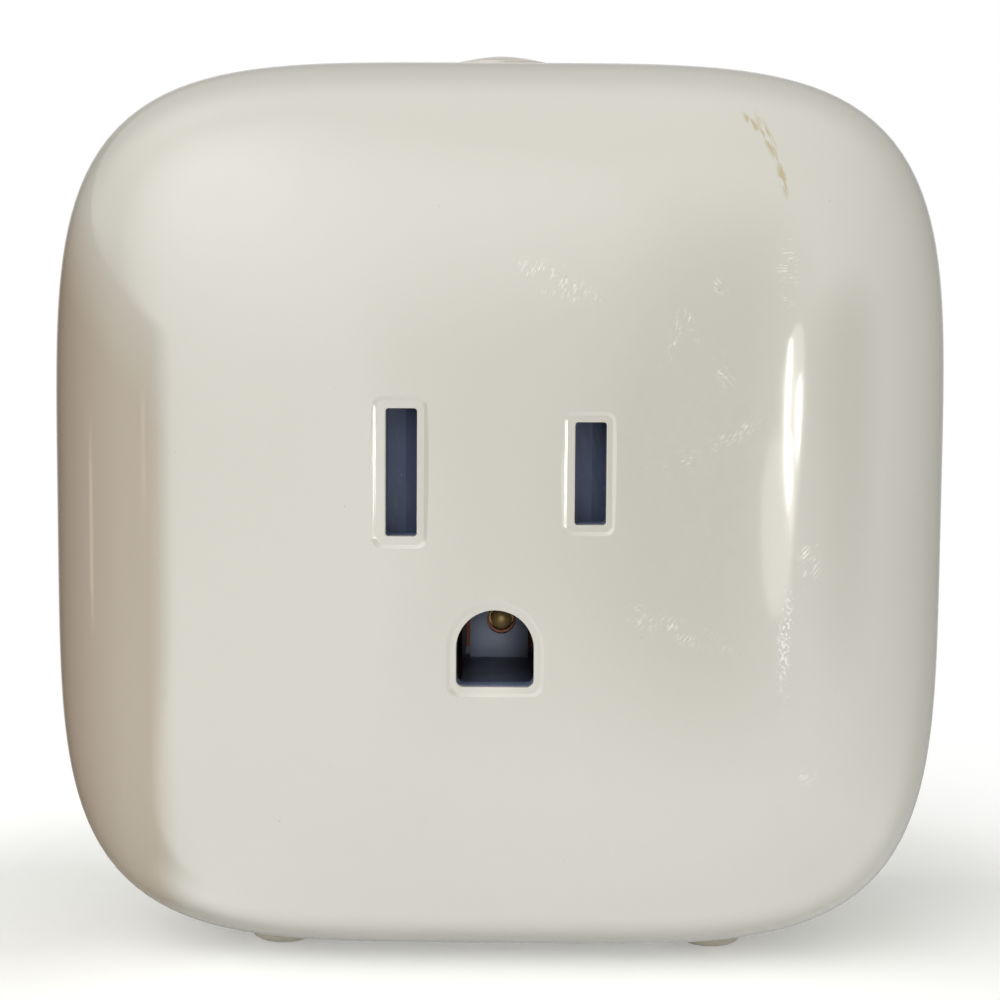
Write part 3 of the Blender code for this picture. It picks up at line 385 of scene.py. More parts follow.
normals = [corner.vector.copy() for corner in shell.data.corner_normals]
exact_faces = 0
for face in shell.data.polygons:
    x, y, z = face.center
    if y > WIDEST - 2 * PAST or face.normal.y > -0.2:
        continue
    if abs(face_y(x, z) - y) > ON_DOME or face.normal.dot(dome_normal(x, z)) < ALIGNED:
        continue
    exact_faces += 1
    for corner in face.loop_indices:
        spot = shell.data.vertices[shell.data.loops[corner].vertex_index].co
        normals[corner] = dome_normal(spot.x, spot.z)
shell.data.normals_split_custom_set(normals)
fit(shell, "front_shell", "face_insert")
print("exact normals on", exact_faces, "faces")

# %% [markdown]
# ## The rear cover
# The cover closes the back: a rounded edge, a lip that fits inside the shell, tubes for the screws,
# and gates for the prongs. The back of the rim gets a small radius so that the seam reads as a fine
# shadow line.

# %% Rear cover
COVER_EDGE = 3.0 * MM
COVER_FLOOR = 2.5 * MM
RIM = SEAM + GAP
LIP_HALF = HALF - WALL - GAP
LIP_WALL = 1.4 * MM
TUBE_RADIUS = 3.8 * MM
TUBE_FRONT = -10.6 * MM
WELL_FLOOR = -2.8 * MM
WELL_RADIUS = 2.8 * MM
WELL_MOUTH = 3.1 * MM
GATE_FRONT = -4 * MM
GATE_HEIGHT = 6.95 * MM
MOUTH_DEPTH = -0.3 * MM
MOUTH_TRIM = 0.01 * MM

rim_edge = [squircle(HALF - SEAM_RADIUS * (1 - math.sin(a)), RIM + SEAM_RADIUS * (1 - math.cos(a)))
            for a in quarter(10)]
back_edge = [squircle(HALF - COVER_EDGE * (1 - math.cos(a)), -COVER_EDGE * (1 - math.sin(a)))
             for a in quarter(12)]
cover = tower("rear_cover_fine", rim_edge + back_edge)
carve(cover, tower("lip", [squircle(LIP_HALF, cover_low.y), squircle(LIP_HALF, RIM + PAST)]), "UNION")
inner = LIP_HALF - LIP_WALL
inside = [squircle(inner, cover_low.y - PAST, INNER_COUNT), squircle(inner, -COVER_FLOOR, INNER_COUNT)]
carve(cover, tower("inside", inside))
tube = [(TUBE_FRONT, TUBE_RADIUS), (PAST - COVER_FLOOR, TUBE_RADIUS)]
well = [(-12 * MM, PILOT_RADIUS), (WELL_FLOOR, PILOT_RADIUS), (WELL_FLOOR, WELL_RADIUS),
        (MOUTH_DEPTH, WELL_RADIUS), (MOUTH_TRIM, WELL_MOUTH), (PAST, WELL_MOUTH)]
for screw_x, screw_z in CORNERS:
    carve(cover, turned_y("tube", screw_x, screw_z, tube), "UNION")
    carve(cover, turned_y("well", screw_x, screw_z, well))
for gate_x in (-BLADE_X, BLADE_X):
    rings = []
    for y, margin in ((GATE_FRONT, 0), (MOUTH_DEPTH, 0), (MOUTH_TRIM, GAP), (PAST, GAP)):
        outline = rounded(gate_x, BLADE_Z, SLOT_WIDTH + 2 * margin, GATE_HEIGHT + 2 * margin,
                          0.25 * MM + margin)
        rings.append([(x, y, z) for x, z in outline])
    carve(cover, tower("gate", rings))
gate = [(GATE_FRONT, PIN_RADIUS + GAP), (MOUTH_DEPTH, PIN_RADIUS + GAP), (MOUTH_TRIM, PIN_RADIUS + 2 * GAP),
        (PAST, PIN_RADIUS + 2 * GAP)]
carve(cover, turned_y("pin_gate", 0, GROUND_Z, gate))
soften(cover)
fit(cover, "rear_cover")

# %% [markdown]
# ## Button and feet
# The button is a low pointed dome on a flanged cap; the feet are soft silicone buttons. Both are
# towers of circles: a power curve shapes the crown, and a quarter ellipse rounds each foot.

# %% Button and feet
CROWN = 0.55 * MM
CROWN_POWER = 1.6
CROWN_STEPS = 24
STEM_RADIUS = 1.5 * MM
FLANGE_RADIUS = 4.7 * MM
FLANGE_LOW, FLANGE_HIGH = 28.0 * MM, 29.45 * MM
FOOT_ROUND = -31.9 * MM
rim_z = button_high.z - CROWN
profile = [(button_low.z, STEM_RADIUS), (FLANGE_LOW, STEM_RADIUS), (FLANGE_LOW, FLANGE_RADIUS),
           (FLANGE_HIGH, FLANGE_RADIUS), (FLANGE_HIGH, BUTTON_RADIUS), (rim_z - 0.1 * MM, BUTTON_RADIUS)]
for step in range(CROWN_STEPS + 1):
    share = 1 - 0.98 * step / CROWN_STEPS
    profile.append((rim_z + CROWN * (1 - share ** CROWN_POWER), (BUTTON_RADIUS - 0.05 * MM) * share))
button = turned_z("power_button_fine", 0, BUTTON_Y, profile, 72)
soften(button)
fit(button, "power_button")

for foot in FEET:
    low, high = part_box(foot)
    middle, radius = (low + high) / 2, (high.x - low.x) / 2
    rings = [(high.z, radius), (FOOT_ROUND, radius)] + round_over(FOOT_ROUND, FLOOR, radius, 1.5 * MM, 10)
    made = turned_z(foot + "_fine", middle.x, middle.y, rings)
    soften(made)
    fit(made, foot)

# %% [markdown]
# ## Prongs
# The blades are stamped brass with a coined tip; the ground pin is turned with a bullet nose. The
# blade is a tower of thin rounded rectangles that shrink near the tip, with a drilled hole.

# %% Prongs
TIP = blade_high.y
THICK, WIDE = 1.5, 6.35
TAIL_WIDE, TAIL_Z = 2.4, 2.0 * MM
SHOULDER_WIDE = 10
SHOULDER_FRONT, SHOULDER_REAR = -4.6 * MM, -2.8 * MM
HOLE_RADIUS = 1.55 * MM
HOLE_Y = TIP - 5.3 * MM
RIVET_Y = -16.2 * MM
STEM_STEP = -13.9 * MM
for name, x in (("neutral_blade", -BLADE_X), ("hot_blade", BLADE_X)):
    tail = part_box(name)[0].y
    sections = [(tail, THICK, TAIL_WIDE, TAIL_Z), (SHOULDER_FRONT, THICK, TAIL_WIDE, TAIL_Z),
                (SHOULDER_FRONT, THICK, SHOULDER_WIDE, BLADE_Z),
                (SHOULDER_REAR, THICK, SHOULDER_WIDE, BLADE_Z),
                (SHOULDER_REAR, THICK, WIDE, BLADE_Z), (TIP - 2.6 * MM, THICK, WIDE, BLADE_Z),
                (TIP - 1.2 * MM, 1.42, 6.2, BLADE_Z), (TIP - 0.6 * MM, 1.2, 5.5, BLADE_Z),
                (TIP - 0.15 * MM, 0.9, 4.5, BLADE_Z), (TIP, 0.7, 4.0, BLADE_Z)]
    rings = []
    for y, thick, wide, z in sections:
        rings.append([(px, y, pz) for px, pz in rounded(x, z, thick * MM, wide * MM, 0.18 * MM, 4)])
    blade = tower(name + "_fine", rings)
    hole = [[(x + side, HOLE_Y + HOLE_RADIUS * math.cos(a), BLADE_Z + HOLE_RADIUS * math.sin(a))
             for a in [2 * math.pi * step / 40 for step in range(40)]] for side in (-2 * MM, 2 * MM)]
    carve(blade, tower("blade_hole", hole))
    soften(blade)
    fit(blade, name)

STEM_X, STEM_Z = 0.15 * MM, GROUND_Z - 1.2 * MM
nose = round_over(pin_high.y - PIN_RADIUS, pin_high.y, PIN_RADIUS, 0.1 * MM, 12)
flange = [(SHOULDER_FRONT, 4.0 * MM), (SHOULDER_REAR, 4.0 * MM), (SHOULDER_REAR, PIN_RADIUS)]
pin = turned_y("ground_pin_fine", 0, GROUND_Z, flange + nose)
rivet = list(reversed(round_over(RIVET_Y, pin_low.y, 0.8 * MM, 0.05 * MM, 8)))
rivet += [(RIVET_Y, 0.6 * MM), (STEM_STEP, 0.6 * MM), (STEM_STEP, 1.4 * MM), (-4.1 * MM, 1.4 * MM)]
carve(pin, turned_y("stem", STEM_X, STEM_Z, rivet), "UNION")
soften(pin)
fit(pin, "ground_pin")

# %% [markdown]
# ## Case screws
# Four long screws with domed heads. A cross is pressed into each head with two thin blocks.

# %% Case screws
SHANK_RADIUS = 1.4 * MM
HEAD_HEIGHT = 1.6 * MM
CROSS_DEPTH = 0.9 * MM
for number in range(1, 5):
    low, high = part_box(f"case_screw_{number}")
    x, z = (low.x + high.x) / 2, (low.z + high.z) / 2
    head, seat = (high.x - low.x) / 2, high.y - HEAD_HEIGHT
    profile = [(low.y, 0.1 * MM), (low.y + 2.1 * MM, SHANK_RADIUS), (seat, SHANK_RADIUS), (seat, head)]
    profile += round_over(seat + 0.5 * MM, high.y, head, head * 0.55, 8) + [(high.y, 0.1 * MM)]
    screw = turned_y(f"case_screw_{number}_fine", x, z, profile)
    for across, up in ((2.4, 0.5), (0.5, 2.4)):
        mouth = rounded(x, z, across * MM, up * MM, 0.1 * MM, 2)
        bit = [[(x + (px - x) * size, y, z + (pz - z) * size) for px, pz in mouth]
               for y, size in ((high.y - CROSS_DEPTH, 0.6), (high.y + PAST, 1.1))]
        carve(screw, tower("bit", bit))
    soften(screw)
    fit(screw, f"case_screw_{number}")

# %% [markdown]
# ## Shutter spring
# The small coil behind the face is a thin circle extruded along a helix. It shortens towards its
# fixed end as the shutter slides, and it gets a mesh of its own.

# %% Shutter spring
WIRE = 0.13 * MM
WIRE_SIDES = 10
TURNS, TURN_STEPS = 4, 20
spring_low, spring_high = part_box("shutter_spring")
spring_middle = (spring_low + spring_high) / 2
coil = (spring_high.z - spring_low.z) / 2 - WIRE
length = spring_high.x - spring_low.x - 2 * WIRE
rings = []
for step in range(TURNS * TURN_STEPS + 1):
    angle = 2 * math.pi * step / TURN_STEPS
    x = spring_low.x + WIRE + length * step / (TURNS * TURN_STEPS)
    ring = []
    for side in range(WIRE_SIDES):
        turn = 2 * math.pi * side / WIRE_SIDES
        radius = coil + WIRE * math.cos(turn)
        ring.append((x + WIRE * math.sin(turn), spring_middle.y + radius * math.cos(angle),
                     spring_middle.z + radius * math.sin(angle)))
    rings.append(ring)
spring = tower("shutter_spring_fine", rings)
soften(spring)
fit(spring, "shutter_spring")
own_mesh(spring)

# %% [markdown]
# ## Materials
# Colours are written as screen values and turned into light values. One small function adds a node,
# sets it and links it. Patterns use object coordinates, so their sizes are real millimetres.

# %% Material tools
def light(code):
    """Turn a screen colour written as RRGGBB into linear light."""
    parts = [int(code[place:place + 2], 16) / 255 for place in (0, 2, 4)]
    linear = [p / 12.92 if p <= 0.04045 else ((p + 0.055) / 1.055) ** 2.4 for p in parts]
    return (*linear, 1.0)


def add(tree, kind, sockets, **settings):
    """Add a node, set its options, then fill or link its sockets."""
    node = tree.nodes.new("ShaderNode" + kind)
    for name, value in settings.items():
        setattr(node, name, value)
    for name, value in sockets.items():
        if isinstance(value, bpy.types.NodeSocket):
            tree.links.new(value, node.inputs[name])
        else:
            node.inputs[name].default_value = value
    return node


def start(name):
    """Return a new material's tree, its shader and its object coordinates."""
    made = bpy.data.materials.new(name)
    made.use_nodes = True
    tree = made.node_tree
    return made, tree, tree.nodes["Principled BSDF"], add(tree, "TexCoord", {}).outputs["Object"]


def blend_colour(tree, factor, first, second):
    """Mix two colours by a factor and return the result's socket."""
    return add(tree, "Mix", {0: factor, 6: first, 7: second}, data_type="RGBA").outputs[2]


def blend_value(tree, factor, first, second):
    """Mix two numbers by a factor and return the result's socket."""
    return add(tree, "Mix", {0: factor, 2: first, 3: second}).outputs[0]


def spread(tree, value, low, high, to_low, to_high):
    """Map a range of values onto another, without going past its ends."""
    sockets = {"Value": value, "From Min": low, "From Max": high, "To Min": to_low, "To Max": to_high}
    return add(tree, "MapRange", sockets, clamp=True).outputs["Result"]


def noise(tree, where, size):
    """Return a noise value whose blobs are about size metres across."""
    sockets = {"Vector": where, "Scale": 1 / size, "Detail": 3.0, "Roughness": 0.5}
    return add(tree, "TexNoise", sockets).outputs["Fac"]


print("material tools ready")

# %% [markdown]
# ## Plain finishes
# Everything inside gets a simple finish: a colour that drifts a little, a roughness that drifts the
# other way, and a fine bump. Each row below gives the colour, the roughness, how metallic it is, the
# grain in millimetres and the strength of the bump.

# %% Plain finishes
FINISHES = {
    "silicone": ("c6c1b3", 0.55, 0.0, 0.5, 0.10),
    "socket_grey": ("828ca3", 0.50, 0.0, 0.4, 0.05),
    "brass": ("cba769", 0.46, 1.0, 0.6, 0.06),
    "tarnished": ("6e4a3a", 0.50, 1.0, 0.6, 0.06),
    "rivet_brass": ("d8b878", 0.50, 0.45, 0.5, 0.06),
    "steel": ("c4c5c8", 0.32, 1.0, 0.5, 0.05),
    "board_green": ("1f5a36", 0.45, 0.0, 0.8, 0.05),
    "relay_blue": ("26418a", 0.35, 0.0, 0.6, 0.04),
    "copper": ("c0764a", 0.35, 1.0, 0.3, 0.12),
    "ferrite": ("3c3d40", 0.62, 0.0, 0.25, 0.15),
    "tape_yellow": ("d8ae2c", 0.50, 0.0, 0.7, 0.06),
    "can_sleeve": ("26314f", 0.30, 0.0, 0.8, 0.04),
    "chip_black": ("26262a", 0.50, 0.0, 0.3, 0.10),
    "disc_blue": ("22499c", 0.40, 0.0, 0.4, 0.08),
    "lens_white": ("eeeede", 0.20, 0.0, 0.5, 0.03),
    "fuse_glass": ("c8cec8", 0.10, 0.0, 0.6, 0.02),
}


def plain(name, code, roughness, metallic, grain, bump):
    """Make a finish with a drifting colour and roughness and a fine grain."""
    made, tree, shader, where = start(name)
    drift = noise(tree, where, 6 * grain * MM)
    fine = noise(tree, where, grain * MM)
    base = light(code)
    darker = tuple(0.86 * part for part in base[:3]) + (1.0,)
    lighter = tuple(min(1.0, 1.08 * part) for part in base[:3]) + (1.0,)
    tree.links.new(blend_colour(tree, drift, darker, lighter), shader.inputs["Base Color"])
    rough = spread(tree, drift, 0.3, 0.7, roughness * 1.15, roughness * 0.85)
    tree.links.new(rough, shader.inputs["Roughness"])
    shader.inputs["Metallic"].default_value = metallic
    height = add(tree, "Bump", {"Height": fine, "Strength": bump, "Distance": 0.05 * MM})
    tree.links.new(height.outputs["Normal"], shader.inputs["Normal"])
    return made


LOOKS = {name: plain(name, *values) for name, values in FINISHES.items()}
print(len(LOOKS), "plain finishes")

# %% [markdown]
# ## The white moulding
# Glossy off-white plastic, slightly warm. Handling has left fine scratches right of the middle, painted
# lighter as glints where they catch the light, and a tan rub near the upper right corner. A trail of
# painted glints runs below the streak, and painted shade darkens and browns the left flank. Each mark
# is a mask by place, and most are broken up by a stretched noise. A mark's row gives its middle and its
# reach in millimetres, and its lean in degrees. The scratch rows are sorted by the way their lines run, in
# degrees.

# %% White moulding
def ball(tree, where, middle, reach):
    """Return 1 at a place fading to 0 at a reach along each axis, where a reach of 0 has no end."""
    offset = add(tree, "VectorMath", {0: where, 1: middle}, operation="SUBTRACT").outputs["Vector"]
    inverse = tuple(1 / (size * MM) if size else 0.0 for size in reach)
    scaled = add(tree, "VectorMath", {0: offset, 1: inverse}, operation="MULTIPLY").outputs["Vector"]
    length = add(tree, "VectorMath", {0: scaled}, operation="LENGTH").outputs["Value"]
    return spread(tree, length, 0.35, 1.0, 1.0, 0.0)


def near(tree, where, centre, reach, turn=0.0):
    """Return a soft oval mask on the face, with centre and reach as (X, Z) pairs and a turn."""
    middle = (centre[0] * MM, FRONT, centre[1] * MM)
    sockets = {"Vector": where, "Center": middle, "Angle": math.radians(turn)}
    turned = add(tree, "VectorRotate", sockets, rotation_type="Y_AXIS").outputs["Vector"]
    depth = add(tree, "SeparateXYZ", {0: where}).outputs["Y"]
    on_face = spread(tree, depth, -26 * MM, -24 * MM, 1.0, 0.0)
    return both(tree, on_face, ball(tree, turned, middle, (reach[0], 0, reach[1])))


def both(tree, first, second):
    """Multiply two masks."""
    return add(tree, "Math", {0: first, 1: second}, operation="MULTIPLY").outputs["Value"]


def either(tree, first, *others):
    """Take the greatest of some masks."""
    for other in others:
        first = add(tree, "Math", {0: first, 1: other}, operation="MAXIMUM").outputs["Value"]
    return first


def scratches(tree, where, turn, sizes, cut_at):
    """Return thin lines where a noise, turned about Y and stretched to sizes in mm, passes its cut."""
    sockets = {"Vector": where, "Rotation": (0.0, math.radians(turn), 0.0)}
    turned = add(tree, "Mapping", sockets).outputs["Vector"]
    scale = tuple(1 / (size * MM) for size in sizes)
    scaled = add(tree, "VectorMath", {0: turned, 1: scale}, operation="MULTIPLY").outputs["Vector"]
    lines = add(tree, "TexNoise", {"Vector": scaled, "Scale": 1.0, "Detail": 2.0}).outputs["Fac"]
    return spread(tree, lines, cut_at, cut_at + 0.05, 0.0, 1.0)


def tinted(base, red, green, blue):
    """Return a colour with each part scaled."""
    return (base[0] * red, base[1] * green, base[2] * blue, 1.0)


SCRATCH_GLINT_CLUSTERS = {
    10: [((19.5, 17.6), (0.9, 3.2), 0), ((12.6, 4.6), (1.7, 1.1), 20), ((9.4, -5.6), (0.9, 0.9), 0),
         ((-20.0, -23.5), (0.5, 0.5), 0)],
    -35: [((15.2, 10.6), (0.8, 1.7), 20), ((14.9, 16.3), (0.8, 0.7), 0), ((19.6, -8.7), (0.7, 5.0), 0)],
    50: [((15.8, 6.4), (2.8, 0.9), 27), ((12.4, -6.9), (4.4, 1.0), -18), ((21.3, -2.0), (1.0, 2.6), 0),
         ((21.5, -17.3), (0.8, 0.8), 0)],
    72: [((11.8, 12.9), (0.5, 2.8), -18), ((13.0, 13.7), (0.4, 1.7), 23), ((4.0, 16.6), (4.0, 1.3), -25)],
}
GLINT_TRAIL = ((19.7, -7.6), (0.55, 4.2), -4)
RUBS = [((18.3, 26.3), (0.42, 2.4), 22), ((19.2, 23.6), (0.36, 1.6), 12), ((17.2, 27.4), (0.30, 1.2), 42)]
HAZE_AND_SHEEN = ((15.0, 4.0), (9.0, 14.0), 15)


def painted_flank_shade(tree, where, base, colour):
    """Paint shade on the left flank below a slanting line, darker and browner in two steps."""
    place = add(tree, "SeparateXYZ", {0: where})
    sideways = place.outputs["X"]
    forward = spread(tree, place.outputs["Y"], -24.0 * MM, -14.0 * MM, 1.0, 0.0)
    sockets = {0: sideways, 1: 1.2, 2: place.outputs["Z"]}
    slant = add(tree, "Math", sockets, operation="MULTIPLY_ADD").outputs["Value"]
    lower = both(tree, forward, spread(tree, slant, -21.5 * MM, -13.2 * MM, 1.0, 0.0))
    band = both(tree, lower, spread(tree, sideways, -23.9 * MM, -22.0 * MM, 1.0, 0.0))
    edge = both(tree, lower, spread(tree, sideways, -31.6 * MM, -26.0 * MM, 1.0, 0.0))
    # Painted shade: the left flank is darkened and browned, as the dark room on its left would do.
    colour = blend_colour(tree, band, colour, tinted(base, 0.88, 0.80, 0.73))
    return blend_colour(tree, edge, colour, tinted(base, 0.68, 0.56, 0.50))


def worn_with_painted_light(tree, where, base, colour, rough):
    """Add the face's wear, its painted glints and its painted flank shade to a colour and a roughness."""
    colour = painted_flank_shade(tree, where, base, colour)
    clumps = spread(tree, noise(tree, where, 0.9 * MM), 0.42, 0.60, 0.0, 1.0)
    scratches_and_glints = both(tree, both(tree, near(tree, where, *HAZE_AND_SHEEN), clumps), 0.04)
    for turn, clusters in SCRATCH_GLINT_CLUSTERS.items():
        lines = both(tree, scratches(tree, where, turn, (0.55, 1.0, 0.08), 0.56), clumps)
        for cluster in clusters:
            scratches_and_glints = either(tree, scratches_and_glints, both(tree, lines, near(tree, where, *cluster)))
    # Partly painted highlight: the scratches and a faint haze are real wear, lightened towards near white as
    # glints and sheen.
    colour = blend_colour(tree, both(tree, scratches_and_glints, 0.55), colour, light("fbf8f0"))
    # Painted highlight: a trail of bluish white glints below the lamp streak.
    glint_dots = scratches(tree, where, 12, (0.2, 1.0, 0.3), 0.53)
    sparkle = both(tree, glint_dots, near(tree, where, *GLINT_TRAIL))
    colour = blend_colour(tree, both(tree, sparkle, 0.5), colour, light("f6f8ff"))
    rough = add(tree, "Math", {0: rough, 1: both(tree, scratches_and_glints, 0.12)}, operation="ADD").outputs["Value"]
    rub = either(tree, *[near(tree, where, *spot) for spot in RUBS])
    strands = scratches(tree, where, -72, (1.4, 1.0, 0.22), 0.44)
    colour = blend_colour(tree, both(tree, both(tree, rub, strands), 0.75), colour, light("a8996a"))
    specks = scratches(tree, where, 0, (0.25, 1.0, 0.25), 0.77)
    return blend_colour(tree, both(tree, specks, 0.5), colour, light("7d7468")), rough


def white(name, code, with_wear_and_painted_light):
    """Make the glossy off-white moulding, worn on the face with painted glints and flank shade, if asked."""
    made, tree, shader, where = start(name)
    base = light(code)
    colour = blend_colour(tree, noise(tree, where, 12 * MM), base, tinted(base, 0.97, 0.97, 0.97))
    rough = spread(tree, noise(tree, where, 5 * MM), 0.3, 0.7, 0.06, 0.09)
    if with_wear_and_painted_light:
        colour, rough = worn_with_painted_light(tree, where, base, colour, rough)
    tree.links.new(colour, shader.inputs["Base Color"])
    tree.links.new(rough, shader.inputs["Roughness"])
    shader.inputs["IOR"].default_value = 1.53
    shader.inputs["Specular IOR Level"].default_value = 0.85
    return made


LOOKS["white_gloss"] = white("white_gloss", "c3c1b9", True)
LOOKS["button_white"] = white("button_white", "c7c2b7", False)
print("white moulding painted")

# %% [markdown]
# ## The dark plastic
# The shutter and the plate around it are navy-grey moulded plastic with a film of dust: pale specks
# and a few soft wipe marks.

# %% Dark plastic
made, tree, shader, where = start("black_plastic")
base = light("677390")
colour = blend_colour(tree, noise(tree, where, 2 * MM), tinted(base, 0.85, 0.85, 0.85), base)
wipes = scratches(tree, where, 8, (0.35, 1.0, 2.2), 0.55)
colour = blend_colour(tree, both(tree, wipes, 0.25), colour, light("868a94"))
specks = scratches(tree, where, 0, (0.20, 0.20, 0.20), 0.72)
colour = blend_colour(tree, both(tree, specks, 0.5), colour, light("b9bac0"))
tree.links.new(colour, shader.inputs["Base Color"])
tree.links.new(spread(tree, wipes, 0.0, 1.0, 0.40, 0.55), shader.inputs["Roughness"])
LOOKS["black_plastic"] = made
print("dark plastic painted")

# %% [markdown]
# ## Paint every piece
# Each piece, fine or carried over from the frame, takes the look of its own slot. The socket's brass
# contacts have tarnished to a reddish brown, while the ground pin with its rivet stays bright.

# %% Paint
LOOK_OF = dict(SLOT_OF)
for node in ("neutral_contact", "hot_contact", "ground_contact"):
    LOOK_OF[node] = "tarnished"
LOOK_OF["ground_pin"] = "rivet_brass"
fine_pieces = [obj for obj in bpy.data.objects if obj.type == "MESH" and obj.name.endswith("_fine")]
for piece in fine_pieces:
    piece.data.materials.clear()
    piece.data.materials.append(LOOKS[LOOK_OF[piece.name.removesuffix("_fine")]])
for node, obj in frame["nodes"].items():
    obj.data.materials.clear()
    obj.data.materials.append(LOOKS[LOOK_OF[node]])
print("painted", len(fine_pieces), "fine pieces and", len(frame["nodes"]), "frame nodes")

# %% [markdown]
# ## Room light
# The glossy face mirrors the room, so the room is painted by direction in degrees: a bright wall in
# front, a window high on the left, a dark figure where the viewer stands, a doorway on the right, a
# pale floor, and a dark brown corner on the left whose crisp end shows as the band on the left of
# the plug, with two thin gleams in it. A soft light stands behind. The camera itself sees plain
# white. An oval's row gives its middle and its reach, each as degrees around and degrees up.

# %% Room light
VIEWER = ((17.0, 3.0), (27.0, 50.0))
WINDOW = ((-35.0, 36.5), (44.0, 40.0))
DOORWAY = ((53.5, 0.0), (19.0, 14.6))
BEHIND = ((180.0, 0.0), (30.0, 24.0))
GLEAMS = [(-57.5, -3.3, 1.0, 1.2), (-57.5, -5.4, 1.0, 1.0), (-91.0, -6.7, 2.0, 3.2)]
DARK_WALL = (0.08, 0.06, 0.04, 1.0)
BROWN = (0.07, 0.05, 0.03, 1.0)
GLEAM = (1.6, 1.35, 1.0, 1.0)
WHITE = (1.0, 1.0, 1.0, 1.0)
room = bpy.context.scene.world or bpy.data.worlds.new("room")
bpy.context.scene.world = room
room.use_nodes = True
tree = room.node_tree


def maths(operation, first, second=0.0):
    """Combine two values, or change one."""
    return add(tree, "Math", {0: first, 1: second}, operation=operation).outputs["Value"]


def grey(level):
    """Return a nearly neutral light of a level."""
    return (level, 0.995 * level, 0.973 * level, 1.0)


way = add(tree, "SeparateXYZ", {0: add(tree, "TexCoord", {}).outputs["Generated"]})
right, ahead, high = way.outputs["X"], way.outputs["Y"], way.outputs["Z"]
azimuth = maths("DEGREES", maths("ARCTAN2", right, maths("MULTIPLY", ahead, -1.0)))
height = maths("DEGREES", maths("ARCSINE", high))


def oval(middle, reach, sideways=azimuth):
    """Return a soft oval mask around a direction."""
    across = maths("DIVIDE", maths("SUBTRACT", sideways, middle[0]), reach[0])
    upward = maths("DIVIDE", maths("SUBTRACT", height, middle[1]), reach[1])
    away = maths("SQRT", maths("ADD", maths("MULTIPLY", across, across), maths("MULTIPLY", upward, upward)))
    return spread(tree, away, 0.3, 1.0, 1.0, 0.0)


def line(middle, level, width, reach):
    """Return a thin upright line around a direction, with its half width and its half height."""
    away = maths("ABSOLUTE", maths("SUBTRACT", azimuth, middle))
    rise = maths("ABSOLUTE", maths("SUBTRACT", height, level))
    thin = spread(tree, away, 0.3 * width, width, 1.0, 0.0)
    return both(tree, thin, spread(tree, rise, 0.3 * reach, reach, 1.0, 0.0))


walls = blend_colour(tree, spread(tree, azimuth, -10.0, 120.0, 0.0, 1.0), grey(1.77), grey(0.28))
around = maths("ABSOLUTE", azimuth)
walls = blend_colour(tree, spread(tree, around, 140.0, 170.0, 0.0, 1.0), walls, grey(0.28))
walls = blend_colour(tree, oval(*VIEWER), walls, grey(0.05))
left_wall = blend_colour(tree, spread(tree, height, 6.0, 18.0, 0.0, 1.0), DARK_WALL, grey(0.9))
not_behind = spread(tree, azimuth, -172.0, -145.0, 0.0, 1.0)
leftward = both(tree, spread(tree, azimuth, -75.0, -48.0, 1.0, 0.0), not_behind)
walls = blend_colour(tree, leftward, walls, left_wall)
ceiling = blend_colour(tree, spread(tree, right, -0.6, 0.3, 1.0, 0.0), grey(0.95), grey(1.45))
walls = blend_colour(tree, spread(tree, height, 25.0, 60.0, 0.0, 1.0), walls, ceiling)
walls = blend_colour(tree, oval(*WINDOW), walls, grey(2.7))
walls = blend_colour(tree, oval(*DOORWAY), walls, grey(0.03))
rightward = spread(tree, right, -0.3, 0.5, 0.0, 1.0)
low = spread(tree, height, -62.0, -30.0, 1.0, 0.0)
lower = blend_value(tree, rightward, low, spread(tree, height, -33.0, -7.0, 1.0, 0.0))
behind = spread(tree, ahead, 0.1, 0.5, 0.0, 1.0)
walls = blend_colour(tree, both(tree, behind, spread(tree, height, 10.0, 25.0, 0.0, 1.0)), walls, grey(0.35))
ground = blend_colour(tree, rightward, grey(2.1), grey(1.7))
walls = blend_colour(tree, lower, walls, blend_colour(tree, behind, ground, grey(0.7)))
above = maths("MULTIPLY", maths("MAXIMUM", maths("SUBTRACT", height, 3.5), 0.0), 4.5)
below = maths("MULTIPLY", maths("MAXIMUM", maths("SUBTRACT", -10.0, height), 0.0), 0.45)
corner = maths("ADD", maths("ADD", azimuth, above), below)
in_corner = both(tree, spread(tree, corner, -53.0, -46.0, 1.0, 0.0), not_behind)
in_corner = both(tree, in_corner, spread(tree, height, -66.0, -48.0, 0.0, 1.0))
walls = blend_colour(tree, in_corner, walls, BROWN)
walls = blend_colour(tree, oval(*BEHIND, around), walls, grey(0.9))
gleam = either(tree, *[line(*place) for place in GLEAMS])
walls = blend_colour(tree, gleam, walls, GLEAM)
seen = add(tree, "LightPath", {}).outputs["Is Camera Ray"]
shade = blend_colour(tree, seen, walls, WHITE)
tree.links.new(shade, tree.nodes["Background"].inputs["Color"])
print("room painted")

# %% [markdown]
# ## Lamps and table
# Two thin upright lamps close by on the right make the forked streak, a third makes its tail, and
# two large dim ones its glow. Each row gives degrees around, height and size in millimetres, and
# brightness. Two narrow torches light the ground hole, each with its rise and its power. The white
# table keeps the plug's soft shadow near it, carries painted shadow beside the plug's left and right
# sides, and fades to plain white farther out. For all rays but the camera's, it turns brown far to the left.

# %% Lamps and table
STREAKS = {
    "streak_left": (35.2, 8.0, (4.8, 44), 15.0),
    "streak_right": (38.3, -1.0, (5.2, 24), 15.0),
    "streak_tail": (36.1, -14.5, (6.5, 13), 15.0),
    "streak_glow": (37.0, 6.0, (20, 64), 1.9),
    "streak_skirt": (33.5, -24.0, (32, 34), 1.6),
}
STREAK_PLACE = Vector((19.5 * MM, -36 * MM, 3 * MM))
LAMP_DISTANCE = 220 * MM
WARM = (1.0, 0.96, 0.86)
TORCHES = {"torch_level": (12 * MM, 0.21), "torch_steep": (45 * MM, 0.28)}
TORCH_ANGLE = math.radians(1.8)


